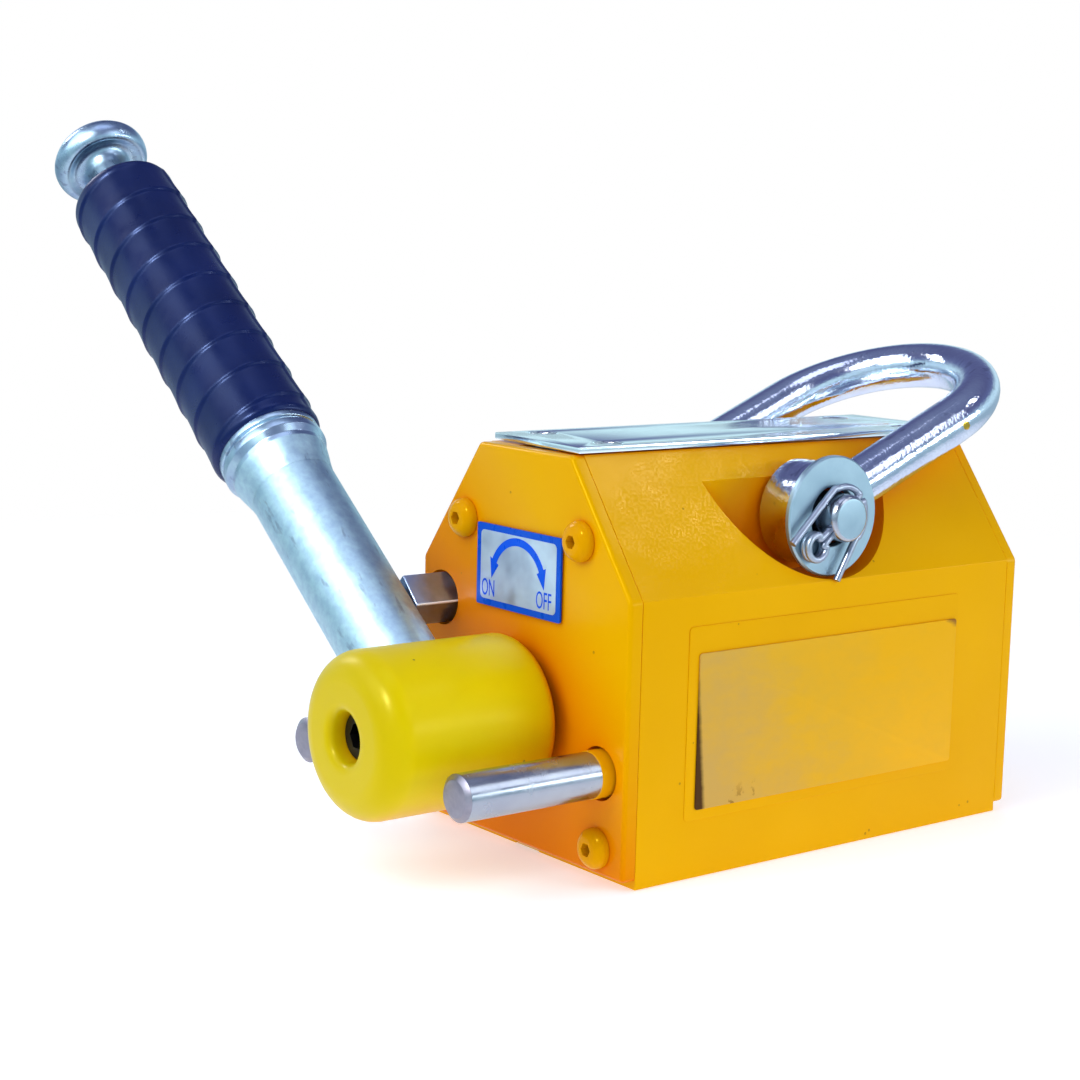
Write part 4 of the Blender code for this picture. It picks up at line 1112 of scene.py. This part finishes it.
CAD_LOOKS = {
    "brass": BRASS, "aluminium": ALUMINIUM, "magnet_nickel": NICKEL, "zinc_steel": WASHER_STEEL,
    "dark_zinc": STUD_STEEL, "black_steel": DARK_STEEL, "yellow_paint": PAINT,
    "lemon_plastic": LEMON, "navy_rubber": RUBBER, "label_film": LABEL_BLUE,
    "plate_film": WORN_PLATE, "forged_zinc": FORGED_STEEL,
}


def dress_cad_nodes():
    slots = {row["node"]: row["material_slot"] for row in frame["record"]["subparts"]}
    for name, ob in frame["nodes"].items():
        if ob.hide_render:
            continue
        look = CAD_LOOKS[slots[name]]
        if not ob.data.materials:
            ob.data.materials.append(look)
        for i in range(len(ob.data.materials)):
            ob.data.materials[i] = look


# ---- floor and light

def floor_look():
    """Pale, and clear towards its edge, so that it meets the background softly."""
    look = Look("studio_floor", Roughness=0.7, Emission_Strength=0.42)
    look.shader.inputs["Base Color"].default_value = (0.86, 0.86, 0.87, 1.0)
    look.shader.inputs["Emission Color"].default_value = (1.0, 1.0, 1.0, 1.0)
    look.shader.inputs["Specular IOR Level"].default_value = 0.1
    length = look.node("ShaderNodeVectorMath", operation="LENGTH")
    look.link(look.stretch((2.0, 2.0, 2.0)), length.inputs[0])
    fade = look.ramp(length.outputs["Value"], (0.15, 1.0), (0.85, 0.0))
    look.link(fade, look.shader.inputs["Alpha"])
    return look.mat


def studio_floor():
    bm = bmesh.new()
    bmesh.ops.create_circle(bm, cap_ends=True, segments=96, radius=0.5)
    floor = object_from("studio_floor", bm, at(0, 0, -0.2 * MM))
    if floor.data.polygons[0].normal.z < 0:
        floor.data.flip_normals()
    floor.data.materials.append(floor_look())


# From straight down, 0, through the horizon, 0.5, to straight up, 1
ROOM_COLOURS = [
    (0.0, (0.40, 0.46, 0.55)), (0.48, (0.42, 0.58, 0.68)), (0.56, (0.74, 1.0, 1.1)),
    (0.62, (0.70, 0.96, 1.05)), (0.71, (0.16, 0.19, 0.38)), (0.82, (0.12, 0.13, 0.28)),
    (1.0, (0.22, 0.26, 0.42)),
]


def studio_world():
    """A white backdrop for the camera; blue-grey walls for what the metal reflects."""
    world = bpy.data.worlds.new("studio")
    bpy.context.scene.world = world
    world.use_nodes = True
    nodes = world.node_tree.nodes
    link = world.node_tree.links.new
    nodes.clear()
    coords = nodes.new("ShaderNodeTexCoord")
    split = nodes.new("ShaderNodeSeparateXYZ")
    link(coords.outputs["Generated"], split.inputs[0])
    height = nodes.new("ShaderNodeMath")
    height.operation = "MULTIPLY_ADD"
    height.inputs[1].default_value = 0.5
    height.inputs[2].default_value = 0.5
    link(split.outputs["Z"], height.inputs[0])
    ramp = nodes.new("ShaderNodeValToRGB")
    fill_ramp(ramp, ROOM_COLOURS)
    link(height.outputs[0], ramp.inputs["Fac"])
    room = nodes.new("ShaderNodeBackground")
    room.inputs["Strength"].default_value = 0.9
    link(ramp.outputs["Color"], room.inputs["Color"])
    backdrop = nodes.new("ShaderNodeBackground")
    backdrop.inputs["Color"].default_value = (1.0, 1.0, 1.0, 1.0)
    path = nodes.new("ShaderNodeLightPath")
    mix = nodes.new("ShaderNodeMixShader")
    output = nodes.new("ShaderNodeOutputWorld")
    link(path.outputs["Is Camera Ray"], mix.inputs[0])
    link(room.outputs[0], mix.inputs[1])
    link(backdrop.outputs[0], mix.inputs[2])
    link(mix.outputs[0], output.inputs[0])


def softbox(name, azimuth, elevation, distance, size, power, colour=(1, 1, 1), diffuse=True,
            gloss=True):
    """A rectangular light that points at the middle of the body.

    Azimuth is in degrees from the front to the right; distance and size are in metres.
    """
    a = math.radians(azimuth)
    e = math.radians(elevation)
    back = Vector((math.sin(a) * math.cos(e), -math.cos(a) * math.cos(e), math.sin(e)))
    light = bpy.data.lights.new(name, "AREA")
    light.shape = "RECTANGLE"
    light.size, light.size_y = size
    light.energy = power
    light.color = colour
    ob = new_object(name, light)
    ob.location = Vector((0, 0, 40 * MM)) + back * distance
    ob.visible_diffuse = diffuse
    ob.visible_glossy = gloss
    ob.rotation_euler = back.to_track_quat("Z", "Y").to_euler()


def studio_lights():
    softbox("key", -12, 38, 0.9, (0.6, 0.6), 3.1, (0.90, 0.97, 1.0))
    softbox("wash", 8, 36, 0.9, (0.9, 0.9), 2.4, (1.0, 0.98, 0.95), gloss=False)
    softbox("near", 58, 10, 0.9, (0.5, 0.5), 0.6, (1.0, 0.95, 0.85), gloss=False)
    softbox("edge", 22, 40, 0.9, (0.05, 0.14), 7.0, diffuse=False)
    softbox("window", -72, 33, 0.9, (0.14, 0.25), 1.6, diffuse=False)
    softbox("streak", 150, 47, 0.9, (0.025, 0.12), 0.35, diffuse=False)
    softbox("fill", 112, 38, 1.0, (0.42, 0.42), 1.15, (0.94, 0.98, 1.0))
    softbox("strip", 128, 12, 0.8, (0.5, 0.1), 1.5)
    softbox("rear", 235, 35, 1.0, (0.6, 0.6), 1.8, gloss=False)
    softbox("top", 60, 85, 0.9, (0.5, 0.4), 0.9, (0.8, 0.82, 1.0))


CAMERA_ANGLES = (52.21, 8.44, 1.38)  # azimuth, elevation and roll, in degrees
CAMERA_PLACE = (-34.0 * MM, 15.02 * MM, 390.3 * MM)  # right, up and back from the middle
CAMERA_LENS = 70.48


def camera():
    """A long lens, low on the front right."""
    azimuth, elevation, roll = (math.radians(v) for v in CAMERA_ANGLES)
    back = Vector((math.sin(azimuth) * math.cos(elevation),
                   -math.cos(azimuth) * math.cos(elevation), math.sin(elevation)))
    right = Vector((math.cos(azimuth), math.sin(azimuth), 0))
    up = back.cross(right)
    target = Vector((0, 0, BODY_H / 2))
    along_right, along_up, away = CAMERA_PLACE
    place = target + back * away + right * along_right + up * along_up
    x_axis = right * math.cos(roll) + up * math.sin(roll)
    y_axis = up * math.cos(roll) - right * math.sin(roll)
    turn = Matrix((x_axis, y_axis, back)).transposed().to_4x4()
    data = bpy.data.cameras.new("camera")
    data.lens = CAMERA_LENS
    data.sensor_width = 36.0
    ob = new_object("camera", data)
    ob.matrix_world = Matrix.Translation(place) @ turn
    bpy.context.scene.camera = ob


def build():
    pole_block("left_pole_block", -1)
    pole_block("right_pole_block", 1)
    end_cover("front_cover", -1)
    end_cover("rear_cover", 1)
    for i in range(1, 5):
        cover_screw(f"front_screw_{i}", -1)
        cover_screw(f"rear_screw_{i}", 1)
    top_plate()
    stop_pin("stop_pin_on")
    stop_pin("stop_pin_off")
    lock_stud()
    mode_label()
    rating_plates()
    hub_cap()
    hub_screw()
    handle_tube()
    handle_collar()
    grip()
    button_knob()
    shackle()
    shackle_pin()
    washer()
    cotter_pin()
    dress_cad_nodes()


build()
studio_floor()
studio_world()
studio_lights()
camera()
bpy.context.scene.view_settings.view_transform = "Standard"
